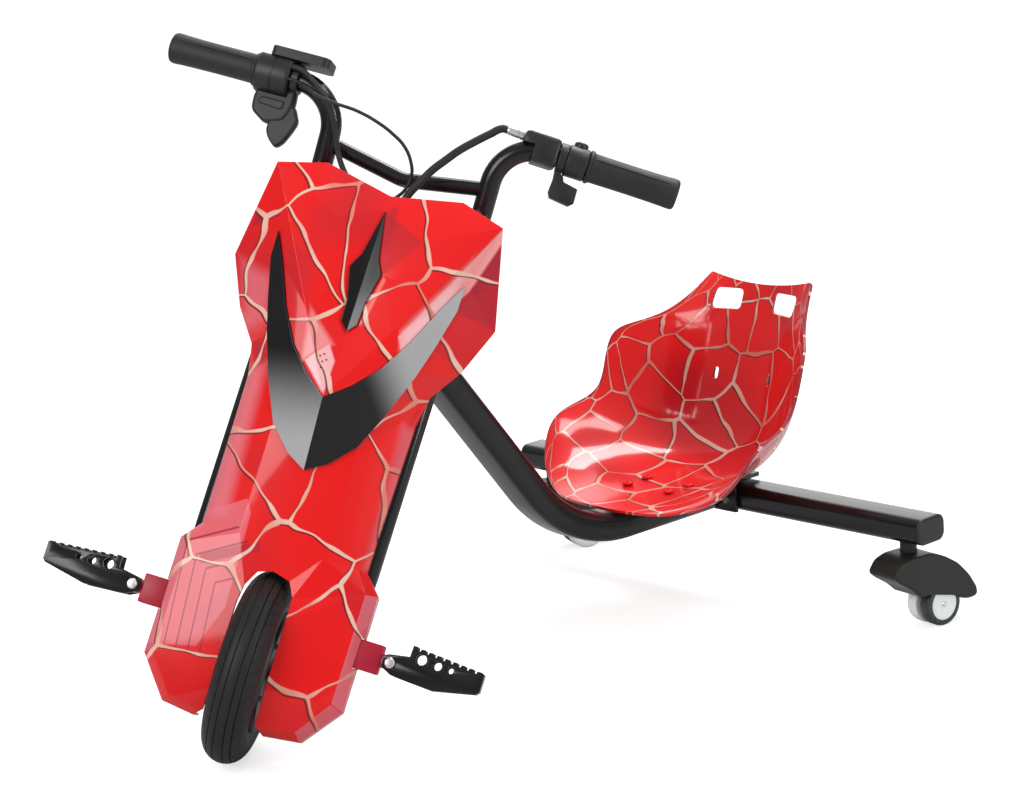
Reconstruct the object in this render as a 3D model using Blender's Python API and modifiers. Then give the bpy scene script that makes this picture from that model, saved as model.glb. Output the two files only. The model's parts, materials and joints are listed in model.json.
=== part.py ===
"""A child's electric drift trike: hub-motor front wheel, bucket seat and two swivelling rear castors.

Metres, +Z up. The rider looks along -Y and +X is at the rider's left hand. The origin is on the ground,
under the middle of the trike's bounding box. The steering stands turned to the left, as it is parked.
"""
import math

import bmesh
import bpy
from mathutils import Matrix, Vector

# Steering geometry
RAKE = math.radians(29.3)
PARKED_STEER = math.radians(43.0)

# Front wheel, motor and axle
WHEEL_RADIUS = 0.102
TYRE_WIDTH = 0.047
MOTOR_RADIUS = 0.0630
MOTOR_WIDTH = 0.052
MOTOR_EDGE = 0.005
BOSS_RADIUS = 0.019
BOSS_FOOT_RADIUS = 0.024
BOSS_HEIGHT = 0.004
AXLE_RADIUS = 0.006
AXLE_COLLAR_RADIUS = 0.010
AXLE_END = 0.0015
NUT_THICKNESS = 0.0055
NUT_ACROSS = 0.019

# Gaps
FIT = 0.0003
SLIDE = 0.0006
MOVING_GAP = 0.0010
CUT_PAST = 0.020

# Fork and head bearing, heights measured along the steering axis from the wheel's centre
UPRIGHT_X = 0.088
UPRIGHT_RADIUS = 0.011
TUBE_WALL = 0.002
UPRIGHT_BELOW_SHELF = 0.054
UPRIGHT_ABOVE_CROWN = 0.0155
DROPOUT_THICKNESS = 0.005
DROPOUT_WIDTH = 0.030
DROPOUT_CORNER = 0.010
DROPOUT_LAP = 0.024
DROPOUT_BELOW_AXLE = 0.020
CROWN_THICKNESS = 0.006
CROWN_DEPTH = 0.0456
HEAD_LENGTH = 0.118
HEAD_RADIUS = 0.021
HEAD_BORE = 0.017
CUP_HEIGHT = 0.0084
CUP_RADIUS = 0.0225
STEERER_RADIUS = 0.009
STEERING_HEAD_RADIUS = 0.015
STEERING_HEAD_HEIGHT = 0.008
STEERING_END = 0.013
STEERING_NUT_RADIUS = 0.0153
STEERING_NUT_HEIGHT = 0.010
SHELF_HEIGHT = 0.118
SHELF_THICKNESS = 0.004
SHELF_HALF_WIDTH = 0.070
SHELF_DEPTH = 0.056
SHELF_BEAM_DEPTH = 0.0176

# Handlebar, heights measured from the top of the fork
BAR_RADIUS = 0.011
BAR_RISE = 0.1045
BAR_FORWARD = 0.026
BAR_SWEEP = math.radians(7.5)
BAR_BEND = 0.045
LEAN_RISE = 0.0275
BRACE_RADIUS = 0.008
BRACE_BEND = 0.040
BRACE_RISE = 0.0525
BRACE_DIP = 0.016
CLAMP_HEIGHT = 0.029
CLAMP_WALL = 0.004
GRIP_RADIUS = 0.016
GRIP_LENGTH = 0.098
GRIP_START = 0.0925
GRIP_END_WALL = 0.003
GRIP_EDGE = 0.003
GRIP_FLANGE = 0.0016
GRIP_FLANGE_LENGTH = 0.004

# Hand controls, positions measured along the bar from the riser
THROTTLE_START = 0.0535
THROTTLE_LENGTH = 0.0385
THROTTLE_RADIUS = 0.0225
HOUSING_EDGE = 0.002
THUMB_RING_WIDTH = 0.008
THUMB_RING_RADIUS = 0.016
PADDLE_THICKNESS = 0.011
POD_SEAT = 0.0165
POD_LENGTH = 0.0646
POD_WIDTH = 0.036
POD_HEIGHT = 0.010
POD_RIM = 0.005
POD_RECESS = 0.003
POD_CORNER = 0.004
POD_SETBACK = 0.0105
BRAKE_START = 0.0205
BRAKE_HOUSING_LENGTH = 0.040
BRAKE_HOUSING_RADIUS = 0.0155
BRAKE_HOUSING_RISE = 0.001
BRAKE_HOUSING_CORNER = 0.005
BRAKE_STEP = 0.013
BRAKE_STEP_TOP = 0.003
BRAKE_RING_WIDTH = 0.0075
BRAKE_RING_RADIUS = 0.016
BRAKE_PADDLE_THICKNESS = 0.008
SWITCH_RADIUS = 0.017
SWITCH_EDGE = 0.0015
BUTTON_TRAVEL = 0.002
BUTTON_STAND = 0.0045
HORN_RADIUS = 0.0075
HORN_FLOOR = 0.001
FERRULE_LENGTH = 0.0180
FERRULE_RADIUS = 0.0055
FERRULE_COLLAR = 0.0040
FERRULE_RISE = 0.0110

# Outlines of the two finger paddles: distance along the bar and height from the bar's axis
THUMB_OUTLINE = ((0.0888, -0.012), (0.0888, -0.041), (0.0777, -0.054), (0.0650, -0.061), (0.0600, -0.070),
                 (0.0500, -0.077), (0.0430, -0.070), (0.0370, -0.057), (0.0330, -0.044), (0.0400, -0.030),
                 (0.0445, -0.022), (0.0445, -0.012))
BRAKE_PADDLE = ((0, -0.012), (0.0075, -0.012), (0.0125, -0.0240), (0.0285, -0.0270), (0.0290, -0.0420),
                (0.0240, -0.0465), (0.0030, -0.0440), (0, -0.0380), (0.0010, -0.0240))

# Cables: routes as (sideways, forwards, height above the top of the fork)
CABLE_RADIUS = {"brake_cable": 0.0042, "throttle_cable": 0.0018, "display_cable": 0.0030}
CABLE_STEP = 0.004
CABLE_ROUTES = {
    "brake_cable": ((0.0898, 0.0258, 0.1155), (0.0850, 0.0264, 0.1151), (0.0740, 0.0290, 0.1050),
                    (0.0620, 0.0320, 0.0925), (0.0490, 0.0360, 0.0775), (0.0390, 0.0380, 0.0635),
                    (0.0290, 0.0380, 0.0495), (0.0210, 0.0370, 0.0345), (0.0140, 0.0365, 0.0205),
                    (0.0100, 0.0360, 0.0075), (0.0095, 0.0360, -0.0025), (0.0095, 0.0360, -0.0119)),
    "throttle_cable": ((-0.1431, 0.0374, 0.0996), (-0.1352, 0.0385, 0.0994), (-0.1230, 0.0450, 0.0948),
                       (-0.1070, 0.0510, 0.0885), (-0.0870, 0.0530, 0.0855), (-0.0630, 0.0520, 0.0845),
                       (-0.0380, 0.0490, 0.0795), (-0.0210, 0.0450, 0.0735), (-0.0050, 0.0400, 0.0645),
                       (0.0060, 0.0340, 0.0505), (0.0090, 0.0290, 0.0405), (0.0070, 0.0265, 0.0245),
                       (-0.0030, 0.0275, 0.0075), (-0.0060, 0.0290, -0.0045), (-0.0060, 0.0290, -0.0119)),
    "display_cable": ((-0.1429, 0.0369, 0.1129), (-0.1350, 0.0380, 0.1127), (-0.1180, 0.0425, 0.1042),
                      (-0.0980, 0.0445, 0.0885), (-0.0860, 0.0400, 0.0725), (-0.0780, 0.0320, 0.0555),
                      (-0.0680, 0.0270, 0.0355), (-0.0500, 0.0280, 0.0155), (-0.0320, 0.0310, 0.0045),
                      (-0.0280, 0.0320, -0.0035), (-0.0280, 0.0320, -0.0119)),
}

# Plastic front cover
COVER_WALL = 0.0025
COVER_RIM = UPRIGHT_RADIUS + FIT
SLOT_HALF_WIDTH = 0.0315
TRIM_THICKNESS = 0.0015
TRIM_LIFT = 0.0014
TRIM_MARGIN = 0.0010
REAR_COVER_DEPTH = 0.030
REAR_COVER_WALL = 0.0025
REAR_COVER_CORNER = 0.008
REAR_COVER_BELOW_CROWN = 0.011
COVER_FLANGE_INSET = 0.001

# Front cover, left half: points as (sideways, up the steering axis, forwards)
RIM_BACK = -0.008
COVER_POINTS = {
    "notch": (0, 0.4995, 0.0620), "fin_top": (0, 0.4825, 0.0680), "fin_foot": (0, 0.3505, 0.0720),
    "nose": (0, 0.2790, 0.0950), "prow": (0, 0.2040, 0.0625), "column_mid": (0, 0.1650, 0.0585),
    "column_low": (0, 0.1260, 0.0535), "arch": (0, 0.0985, 0.0500),
    "ridge": (0.0730, 0.5146, 0.0620), "corner": (0.1207, 0.4987, 0.0740), "crease": (0.0470, 0.4610, 0.0775),
    "fin_1": (0.0100, 0.4330, 0.0719), "fin_2": (0.0180, 0.4165, 0.0749), "fin_3": (0.0105, 0.3830, 0.0737),
    "fin_4": (0.0095, 0.3600, 0.0741),
    "arm_1": (0.0230, 0.2980, 0.0915), "arm_2": (0.0450, 0.3230, 0.0860), "arm_3": (0.0650, 0.3580, 0.0790),
    "arm_4": (0.0820, 0.3980, 0.0700), "tip": (0.1000, 0.4340, 0.0590),
    "ridge_low": (0.0450, 0.3610, 0.0872), "ridge_high": (0.0750, 0.4155, 0.0820),
    "out_1": (0.0220, 0.2170, 0.0625), "out_2": (0.0450, 0.2420, 0.0615), "out_3": (0.0640, 0.2850, 0.0600),
    "out_4": (0.0800, 0.3300, 0.0575), "out_5": (0.0890, 0.3610, 0.0565), "out_6": (0.1000, 0.4050, 0.0565),
    "wide": (0.1410, 0.4006, 0.0310), "side": (0.1200, 0.3500, 0.0270), "join": (0.0970, 0.3170, 0.0240),
    "flank": (0.0810, 0.2850, 0.0430), "edge_high": (0.0905, 0.2850, 0.0240),
    "mid_1": (0.0450, 0.1650, 0.0565), "mid_2": (0.0800, 0.1650, 0.0380), "mid_3": (0.0885, 0.1650, 0.0240),
    "low_1": (0.0450, 0.1260, 0.0520), "low_2": (0.0800, 0.1260, 0.0360), "low_3": (0.0885, 0.1260, 0.0240),
    "arch_1": (0.0185, 0.0935, 0.0500), "arch_2": (0.0305, 0.0780, 0.0490),
    "slot_top": (SLOT_HALF_WIDTH, 0.0580, 0.0480), "slot_mid": (SLOT_HALF_WIDTH, -0.0170, 0.0440),
    "slot_low": (SLOT_HALF_WIDTH, -0.0550, 0.0380), "slot_end": (0.0370, -0.0630, 0.0260),
    "guard_1": (0.0950, 0.1040, 0.0340), "guard_2": (0.0950, -0.0120, 0.0320), "guard_3": (0.0680, -0.0500, 0.0300),
    "wall_1": (0.1060, 0.1060, 0.0200), "wall_2": (0.1060, -0.0170, 0.0180), "wall_3": (0.0735, -0.0586, 0.0160),
    "notch_b": (0, 0.4955, 0.0430), "ridge_b": (0.0715, 0.5100, 0.0430), "corner_b": (0.1165, 0.4950, 0.0500),
    "wide_b": (0.1355, 0.4006, 0.0100), "side_b": (0.1155, 0.3510, 0.0115), "join_b": (0.0935, 0.3165, COVER_RIM),
    "high_b": (0.0905, 0.2850, COVER_RIM), "mid_b": (0.0885, 0.1650, COVER_RIM), "low_b": (0.0885, 0.1260, COVER_RIM),
    "step_b": (0.1060, 0.1070, COVER_RIM), "wall_1b": (0.1060, 0.1060, RIM_BACK),
    "wall_2b": (0.1060, -0.0170, RIM_BACK), "wall_3b": (0.0735, -0.0586, -0.0120),
    "slot_end_b": (0.0370, -0.0630, -0.0100), "slot_low_b": (SLOT_HALF_WIDTH, -0.0550, -0.0100),
    "slot_mid_b": (SLOT_HALF_WIDTH, -0.0170, 0.0300), "slot_top_b": (SLOT_HALF_WIDTH, 0.0580, 0.0380),
}
FIN_FACES = (("fin_top", "fin_1", "fin_3"), ("fin_1", "fin_2", "fin_3"), ("fin_top", "fin_3", "fin_foot"),
             ("fin_foot", "fin_3", "fin_4"))
CHEVRON_FACES = (("prow", "out_1", "nose"), ("out_1", "arm_1", "nose"), ("out_1", "out_2", "arm_1"),
                 ("out_2", "arm_2", "arm_1"), ("out_2", "out_3", "arm_2"), ("out_3", "arm_3", "arm_2"),
                 ("out_3", "out_4", "arm_3"), ("out_4", "arm_4", "arm_3"), ("out_4", "out_5", "arm_4"),
                 ("out_5", "out_6", "arm_4"), ("out_6", "tip", "arm_4"))
COVER_FACES = (
    ("fin_top", "notch", "ridge", "crease"), ("ridge", "corner", "crease"), ("fin_top", "crease", "fin_1"),
    ("fin_1", "crease", "fin_2"), ("crease", "ridge_high", "fin_2"), ("crease", "corner", "ridge_high"),
    ("fin_2", "ridge_high", "ridge_low"), ("fin_2", "ridge_low", "fin_3"), ("fin_3", "ridge_low", "fin_4"),
    ("fin_4", "ridge_low", "nose", "fin_foot"), ("nose", "ridge_low", "arm_2", "arm_1"),
    ("ridge_low", "arm_3", "arm_2"), ("ridge_low", "ridge_high", "arm_4", "arm_3"),
    ("ridge_high", "corner", "tip", "arm_4"), ("tip", "corner", "wide"), ("tip", "wide", "out_6"),
    ("out_6", "wide", "out_5"), ("out_5", "wide", "side", "out_4"), ("out_4", "side", "join", "out_3"),
    ("out_3", "join", "edge_high", "flank"), ("out_3", "flank", "out_2"), ("out_2", "flank", "mid_2", "mid_1"),
    ("flank", "edge_high", "mid_3", "mid_2"), ("out_1", "out_2", "mid_1"), ("prow", "out_1", "mid_1", "column_mid"),
    ("column_mid", "mid_1", "low_1", "column_low"), ("mid_1", "mid_2", "low_2", "low_1"),
    ("mid_2", "mid_3", "low_3", "low_2"), ("column_low", "low_1", "arch_1", "arch"),
    ("low_1", "arch_2", "arch_1"), ("low_1", "low_2", "guard_1", "arch_2"), ("low_2", "low_3", "wall_1", "guard_1"),
    ("arch_2", "guard_1", "slot_top"), ("slot_top", "guard_1", "guard_2", "slot_mid"),
    ("slot_mid", "guard_2", "guard_3", "slot_low"), ("slot_low", "guard_3", "wall_3", "slot_end"),
    ("guard_1", "wall_1", "wall_2", "guard_2"), ("guard_2", "wall_2", "wall_3", "guard_3"),
    ("notch", "notch_b", "ridge_b", "ridge"), ("ridge", "ridge_b", "corner_b", "corner"),
    ("corner", "corner_b", "wide_b", "wide"), ("wide", "wide_b", "side_b", "side"),
    ("side", "side_b", "join_b", "join"), ("join", "join_b", "high_b", "edge_high"),
    ("edge_high", "high_b", "mid_b", "mid_3"), ("mid_3", "mid_b", "low_b", "low_3"),
    ("low_3", "low_b", "step_b", "wall_1"), ("wall_1", "step_b", "wall_1b", "wall_2b", "wall_2"),
    ("wall_2", "wall_2b", "wall_3b", "wall_3"), ("wall_3", "wall_3b", "slot_end_b", "slot_end"),
)

# Battery and motor controller. The leads' room is between the battery and the lower crown
BATTERY_SIZE = (0.120, 0.044, 0.175)
BATTERY_FORWARD = 0.006
BATTERY_CORNER = 0.006
LEAD_ROOM = 0.0317
CONTROLLER_SIZE = (0.078, 0.020, 0.151)
CONTROLLER_CORNER = 0.003

# Foot pegs
PEG_PIVOT = (0.1380, 0.0455)
PEG_FORWARD = 0.010
PEG_DEPTH = 0.030
PEG_PLATE = 0.003
PEG_NECK_GAP = 0.0005
PEG_NOSE = 0.0090
PEG_LENGTH = 0.0960
PEG_END_CORNER = 0.003
PEG_END_FOOT = -0.005
PEG_END_TOP = 0.0165
PEG_TOP_OUTER = 0.0180
PEG_TOP_INNER = 0.0235
PEG_TAB = (0.0185, 0.0235)
PEG_TAB_TOP = 0.0240
PEG_UNDERSIDE = ((0.0040, -0.0115), (0.0160, -0.0125), (0.0480, -0.0145))
PEG_TOOTH = 0.0028
PEG_TEETH = 8
PEG_HOLES = ((0.0300, 0.0125, 0.0058), (0.0475, 0.0110, 0.0047), (0.0615, 0.0105, 0.0033))
PEG_BOLT_RADIUS = 0.004
PEG_BOLT_HEAD_RADIUS = 0.0055
PEG_BOLT_HEAD_HEIGHT = 0.003
PEG_BRACKET_TOP = 0.0605
PEG_BRACKET_BOTTOM = 0.0300
PEG_BRACKET_DEPTH = 0.024
PEG_BRACKET_CORNER = 0.0015
PEG_TONGUE_LAP = 0.004

# Rear frame
REAR_AXLE_Y = 0.7026
CROSSBAR_Z = 0.121
CROSSBAR_HALF = 0.3215
CROSSBAR_WIDTH = 0.045
CROSSBAR_HEIGHT = 0.030
CROSSBAR_CORNER = 0.010
CROSSBAR_WALL = 0.002
CAP_FLANGE = 0.0035
CAP_PLUG = 0.018
CAP_LAP = 0.002
SPINE_WIDTH = 0.050
SPINE_THICKNESS = 0.032
SPINE_CORNER = 0.011
SPINE_WALL = 0.0025
SPINE_LEVEL_RUN = 0.230
SPINE_BEND = 0.170
SPINE_AT_HEAD = 0.410
SPINE_LEVEL = 0.122
END_PLATE_THICKNESS = 0.005
END_PLATE_HALF = 0.052
END_PLATE_SHORTER = 0.002
CROSSBAR_BOLT_X = 0.038
BOLT_RADIUS = 0.004
BOLT_HEAD_RADIUS = 0.0068
BOLT_HEAD_HEIGHT = 0.004
BOLT_END = 0.004

# Seat, placed from the line of the rear axle and the top of its bracket
SEAT_WALL = 0.0032
SEAT_PLATE_THICKNESS = 0.0052
SEAT_STRUT_THICKNESS = 0.004
SEAT_STRUT_STATIONS = (6, 7, 8)
SEAT_PLATE_HALF = 0.045
SEAT_PLATE_FRONT = -0.1406
SEAT_STRUT_HALF = 0.0315
SEAT_BOLT_RADIUS = 0.003
SEAT_BOLT_HEAD_RADIUS = 0.0065
SEAT_BOLT_HEAD_HEIGHT = 0.003
SEAT_BOLT_STAND = 0.0061
SEAT_BOLT_END = 0.004
SEAT_BOLT_X = 0.033
SEAT_BOLT_Y = (-0.1166, -0.0846)
HAND_HOLE = (0.032, 0.015)
HAND_HOLE_CORNER = 0.005
HAND_HOLE_PLACE = (0.045, 0.188)
STRAP_SLOT = (0.006, 0.014)
STRAP_SLOT_CORNER = 0.0029
STRAP_SLOT_PLACE = (0.042, 0.1035)

# For each station from the seat's front lip to the top of its back, the middle of the shell as (Y, Z), the
# rim of its left side as (X, Y, Z), and how full its section is: the higher, the flatter in the middle
SEAT_STATIONS = (
    ((-0.1926, 0.0012), (0.118, -0.1600, 0.0050), 3.0),
    ((-0.1626, 0.0032), (0.150, -0.1420, 0.0220), 3.2),
    ((-0.1176, 0.0030), (0.161, -0.1196, 0.0605), 3.2),
    ((-0.0726, 0.0030), (0.162, -0.0946, 0.0755), 3.2),
    ((-0.0276, 0.0045), (0.156, -0.0566, 0.0815), 2.9),
    ((0.0094, 0.0135), (0.152, -0.0346, 0.0945), 2.5),
    ((0.0344, 0.0365), (0.155, -0.0236, 0.1245), 2.2),
    ((0.0504, 0.0765), (0.154, -0.0126, 0.1545), 2.0),
    ((0.0634, 0.1185), (0.142, 0.0054, 0.1625), 2.0),
    ((0.0754, 0.1565), (0.110, 0.0384, 0.1705), 2.0),
    ((0.0854, 0.1865), (0.088, 0.0724, 0.1975), 2.0),
    ((0.0924, 0.2065), (0.080, 0.0924, 0.2165), 2.0),
)
SEAT_ACROSS = 5
SEAT_SPREAD = 0.85

# Castors
CASTOR_INSET = 0.035
CASTOR_TRAIL = 0.0345
CASTOR_RADIUS = 0.025
CASTOR_WHEEL_WIDTH = 0.0150
CASTOR_WEB = 0.005
CASTOR_AXLE_RADIUS = 0.003
CASTOR_EDGE = 0.003
CASTOR_DISC_RADIUS = 0.009
CASTOR_DISC_SINK = 0.001
CASTOR_STEM_RADIUS = 0.010
CASTOR_PIN_RADIUS = 0.005
CASTOR_PIN_DEPTH = 0.018
CASTOR_PIN_RISE = 0.004
CASTOR_HEADING_LEFT = math.radians(83.0)
CASTOR_HEADING_RIGHT = math.radians(72.0)
HOOD_WALL = 0.0025
HOOD_HALF_WIDTH = 0.0225
HOOD_CORNER = 0.006
HOOD_SHARP = math.radians(80)
HOOD_TOP = 0.090

# Side view of a castor's hood, its two wheel pockets and its axle lug, from the wheel's centre line
HOOD_OUTLINE = ((-0.077, 0.073), (-0.067, 0.086), (-0.052, HOOD_TOP), (-0.020, HOOD_TOP), (0.001, 0.0805),
                (0.020, 0.0675), (0.036, 0.0500), (0.047, 0.033), (0.045, 0.027), (0.024, 0.0265),
                (0.013, 0.0330), (-0.010, 0.0385), (-0.024, 0.0425), (-0.037, 0.0410), (-0.050, 0.0530),
                (-0.070, 0.0660))
POCKET_OUTLINE = ((-0.0275, 0.0100), (-0.0275, 0.0490), (-0.0130, 0.0680), (0.0030, 0.0735), (0.0185, 0.0630),
                  (0.0335, 0.0465), (0.0425, 0.0320), (0.0425, 0.0100))
LUG_OUTLINE = ((-0.0100, 0.0450), (-0.0080, 0.0225), (-0.0050, 0.0180), (0.0050, 0.0180), (0.0080, 0.0225),
               (0.0100, 0.0450))

for old in list(bpy.data.objects):
    bpy.data.objects.remove(old, do_unlink=True)

PARTS = bpy.data.collections.new("electric_tricycle")
CUTTERS = bpy.data.collections.new("cutters_and_guides")
bpy.context.scene.collection.children.link(PARTS)
bpy.context.scene.collection.children.link(CUTTERS)


def finish(name, colour, roughness, metallic=0.0):
    """A Principled material with one colour."""
    material = bpy.data.materials.new(name)
    material.use_nodes = True
    shader = material.node_tree.nodes["Principled BSDF"]
    shader.inputs["Base Color"].default_value = (*colour, 1.0)
    shader.inputs["Roughness"].default_value = roughness
    shader.inputs["Metallic"].default_value = metallic
    return material


RED_GLOSS = finish("red_gloss", (0.80, 0.012, 0.014), 0.25)
CRIMSON = finish("crimson_paint", (0.36, 0.010, 0.035), 0.35)
BLACK_PAINT = finish("black_paint", (0.012, 0.012, 0.013), 0.35)
BLACK_GLOSS = finish("black_gloss_trim", (0.020, 0.019, 0.019), 0.18)
BLACK_PLASTIC = finish("black_plastic", (0.028, 0.028, 0.030), 0.55)
RUBBER = finish("black_rubber", (0.018, 0.018, 0.018), 0.80)
GREY_PLASTIC = finish("grey_plastic", (0.050, 0.050, 0.048), 0.50)
ZINC = finish("zinc_plated_steel", (0.62, 0.63, 0.65), 0.32, 1.0)
MOTOR_METAL = finish("motor_casting", (0.10, 0.10, 0.105), 0.42, 0.8)
MILKY = finish("milky_polyurethane", (0.80, 0.81, 0.80), 0.35)
WRAP_BLUE = finish("battery_wrap", (0.015, 0.05, 0.16), 0.40)
SILVER_CASE = finish("controller_case", (0.45, 0.46, 0.47), 0.45, 0.9)


def empty(name, parent=None, place=None):
    """A frame that pieces are parented to."""
    frame = bpy.data.objects.new(name, None)
    frame.empty_display_size = 0.03
    PARTS.objects.link(frame)
    frame.parent = parent
    if place is not None:
        frame.matrix_local = place
    return frame


def new_object(name, mesh, parent, material, place=None):
    """Links a mesh as one named sub-part, with rounded surfaces shaded smooth."""
    piece = bpy.data.objects.new(name, mesh)
    PARTS.objects.link(piece)
    piece.parent = parent
    if place is not None:
        piece.matrix_local = place
    if not mesh.materials:
        mesh.materials.append(material)
    mesh.shade_smooth()
    mesh.set_sharp_from_angle(angle=math.radians(35))
    return piece


def as_cutter(piece):
    """Moves a piece out of the model, to be used by a Boolean only."""
    PARTS.objects.unlink(piece)
    CUTTERS.objects.link(piece)
    piece.hide_render = True
    piece.display_type = "WIRE"
    return piece


def combine(piece, operation, *others):
    """Adds a Boolean with each of the other pieces, which become cutters."""
    for other in others:
        if other.name not in CUTTERS.objects:
            as_cutter(other)
        boolean = piece.modifiers.new(operation.lower(), "BOOLEAN")
        boolean.operation = operation
        boolean.object = other
    return piece


def mesh_from(bm, name):
    """Ends a bmesh as mesh data."""
    mesh = bpy.data.meshes.new(name)
    bm.to_mesh(mesh)
    bm.free()
    return mesh


def baked(source, name):
    """The mesh that a curve object makes, welded at its caps; the curve is removed."""
    bpy.context.view_layer.update()
    evaluated = source.evaluated_get(bpy.context.evaluated_depsgraph_get())
    mesh = bpy.data.meshes.new_from_object(evaluated)
    mesh.name = name
    bm = bmesh.new()
    bm.from_mesh(mesh)
    bmesh.ops.remove_doubles(bm, verts=bm.verts, dist=0.00001)
    bm.to_mesh(mesh)
    bm.free()
    mesh.materials.clear()
    bpy.data.objects.remove(source, do_unlink=True)
    return mesh


def block(name, size, centre, parent, material, bevel=0.0, place=None):
    """A box, with its edges rounded where a bevel is given."""
    bm = bmesh.new()
    scale = Matrix.Diagonal((*size, 1.0))
    bmesh.ops.create_cube(bm, size=1.0, matrix=Matrix.Translation(centre) @ scale)
    piece = new_object(name, mesh_from(bm, name), parent, material, place)
    if bevel:
        rounding = piece.modifiers.new("rounding", "BEVEL")
        rounding.width = bevel
        rounding.segments = 2
        rounding.harden_normals = False
    return piece


def rod(name, radius, start, end, parent, material, sides=16, place=None):
    """A round bar between two points."""
    start = Vector(start)
    along = Vector(end) - start
    turn = along.to_track_quat("Z", "Y").to_matrix().to_4x4()
    middle = Matrix.Translation(start + along / 2)
    bm = bmesh.new()
    bmesh.ops.create_cone(bm, cap_ends=True, segments=sides, radius1=radius, radius2=radius,
                          depth=along.length, matrix=middle @ turn)
    return new_object(name, mesh_from(bm, name), parent, material, place)


def circle(radius, sides, centre=(0.0, 0.0)):
    """Points round a circle."""
    steps = [2 * math.pi * (i + 0.5) / sides for i in range(sides)]
    return [(centre[0] + radius * math.cos(a), centre[1] + radius * math.sin(a)) for a in steps]


def rounded_rectangle(width, height, corner, arc_steps=4, centre=(0.0, 0.0)):
    """Points round a rectangle with round corners."""
    points = []
    for quarter, (sx, sy) in enumerate(((1, 1), (-1, 1), (-1, -1), (1, -1))):
        cx = centre[0] + sx * (width / 2 - corner)
        cy = centre[1] + sy * (height / 2 - corner)
        for i in range(arc_steps + 1):
            angle = math.pi / 2 * (quarter + i / arc_steps)
            points.append((cx + corner * math.cos(angle), cy + corner * math.sin(angle)))
    return points


# Turns an outline drawn in X and Y to stand in a plane of its piece's frame
FACING_FRONT = Matrix(((1, 0, 0, 0), (0, 0, -1, 0), (0, 1, 0, 0), (0, 0, 0, 1)))
FACING_SIDE = Matrix(((0, 0, 1, 0), (1, 0, 0, 0), (0, 1, 0, 0), (0, 0, 0, 1)))


def plate(name, outlines, thickness, parent, material, turn=Matrix(), place=None):
    """A flat outline with any holes, as a filled 2D curve of a given thickness."""
    curve = bpy.data.curves.new(name, "CURVE")
    curve.dimensions = "2D"
    curve.fill_mode = "BOTH"
    curve.extrude = thickness / 2
    for outline in outlines:
        spline = curve.splines.new("POLY")
        spline.points.add(len(outline) - 1)
        for point, (x, y) in zip(spline.points, outline):
            point.co = (x, y, 0.0, 1.0)
        spline.use_cyclic_u = True
    source = bpy.data.objects.new(name, curve)
    PARTS.objects.link(source)
    mesh = baked(source, name)
    mesh.transform(turn)
    return new_object(name, mesh, parent, material, place)


def tube(name, points, radius, parent, material, resolution=3, place=None):
    """A bent round tube along points, with its ends closed."""
    curve = bpy.data.curves.new(name, "CURVE")
    curve.dimensions = "3D"
    curve.bevel_depth = radius
    curve.bevel_resolution = resolution
    curve.use_fill_caps = True
    spline = curve.splines.new("POLY")
    spline.points.add(len(points) - 1)
    for point, position in zip(spline.points, points):
        point.co = (*position, 1.0)
    source = bpy.data.objects.new(name, curve)
    PARTS.objects.link(source)
    return new_object(name, baked(source, name), parent, material, place)


def turned(name, profile, parent, material, steps=20, closed=False, place=None):
    """A turned shape about its own Z axis. The profile runs down its outer side."""
    mesh = bpy.data.meshes.new(name)
    edges = [(i, i + 1) for i in range(len(profile) - 1)]
    if closed:
        edges.append((len(profile) - 1, 0))
    mesh.from_pydata([(radius, 0.0, height) for radius, height in profile], edges, [])
    piece = new_object(name, mesh, parent, material, place)
    screw = piece.modifiers.new("turning", "SCREW")
    screw.steps = steps
    screw.render_steps = steps
    screw.use_merge_vertices = True
    screw.merge_threshold = 0.00001
    return piece


def filleted(corners, radius, steps):
    """Points of a bent path: straight runs with an arc at each inner corner."""
    corners = [Vector(c) for c in corners]
    points = [corners[0]]
    for before, corner, after in zip(corners, corners[1:], corners[2:]):
        back = (before - corner).normalized()
        ahead = (after - corner).normalized()
        half = back.angle(ahead) / 2
        centre = corner + (back + ahead).normalized() * (radius / math.sin(half))
        first = corner + back * (radius / math.tan(half))
        last = corner + ahead * (radius / math.tan(half))
        sweep = (first - centre).angle(last - centre)
        for i in range(steps + 1):
            share = i / steps
            arm = (first - centre) * math.sin((1 - share) * sweep) + (last - centre) * math.sin(share * sweep)
            points.append(centre + arm / math.sin(sweep))
    points.append(corners[-1])
    return points


def smooth_route(through, spacing):
    """Evenly spread points on a smooth curve through a cable's chosen points."""
    through = [Vector(p) for p in through]
    padded = [2 * through[0] - through[1], *through, 2 * through[-1] - through[-2]]
    points = []
    for a, b, c, d in zip(padded, padded[1:], padded[2:], padded[3:]):
        pieces = max(1, round((c - b).length / spacing))
        for i in range(pieces):
            t = i / pieces
            points.append(0.5 * (2 * b + (c - a) * t + (2 * a - 5 * b + 4 * c - d) * t ** 2
                                 + (3 * b - a - 3 * c + d) * t ** 3))
    points.append(through[-1])
    return points


def along_x(x=0.0, y=0.0, z=0.0):
    """A frame whose Z axis lies along its parent's X axis."""
    return Matrix.Translation((x, y, z)) @ Matrix.Rotation(math.pi / 2, 4, "Y")


def bolt_head(radius, height, base=0.0):
    """Profile of a low-domed bolt head, from its middle down to its bearing face."""
    return [(0, base + height), (0.78 * radius, base + height), (radius, base + 0.65 * height), (radius, base)]


def collar(bore, radius, length, edge):
    """Profile of a bored round housing with chamfered ends."""
    return [(bore, length), (radius - edge, length), (radius, length - edge), (radius, edge), (radius - edge, 0),
            (bore, 0)]


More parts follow.
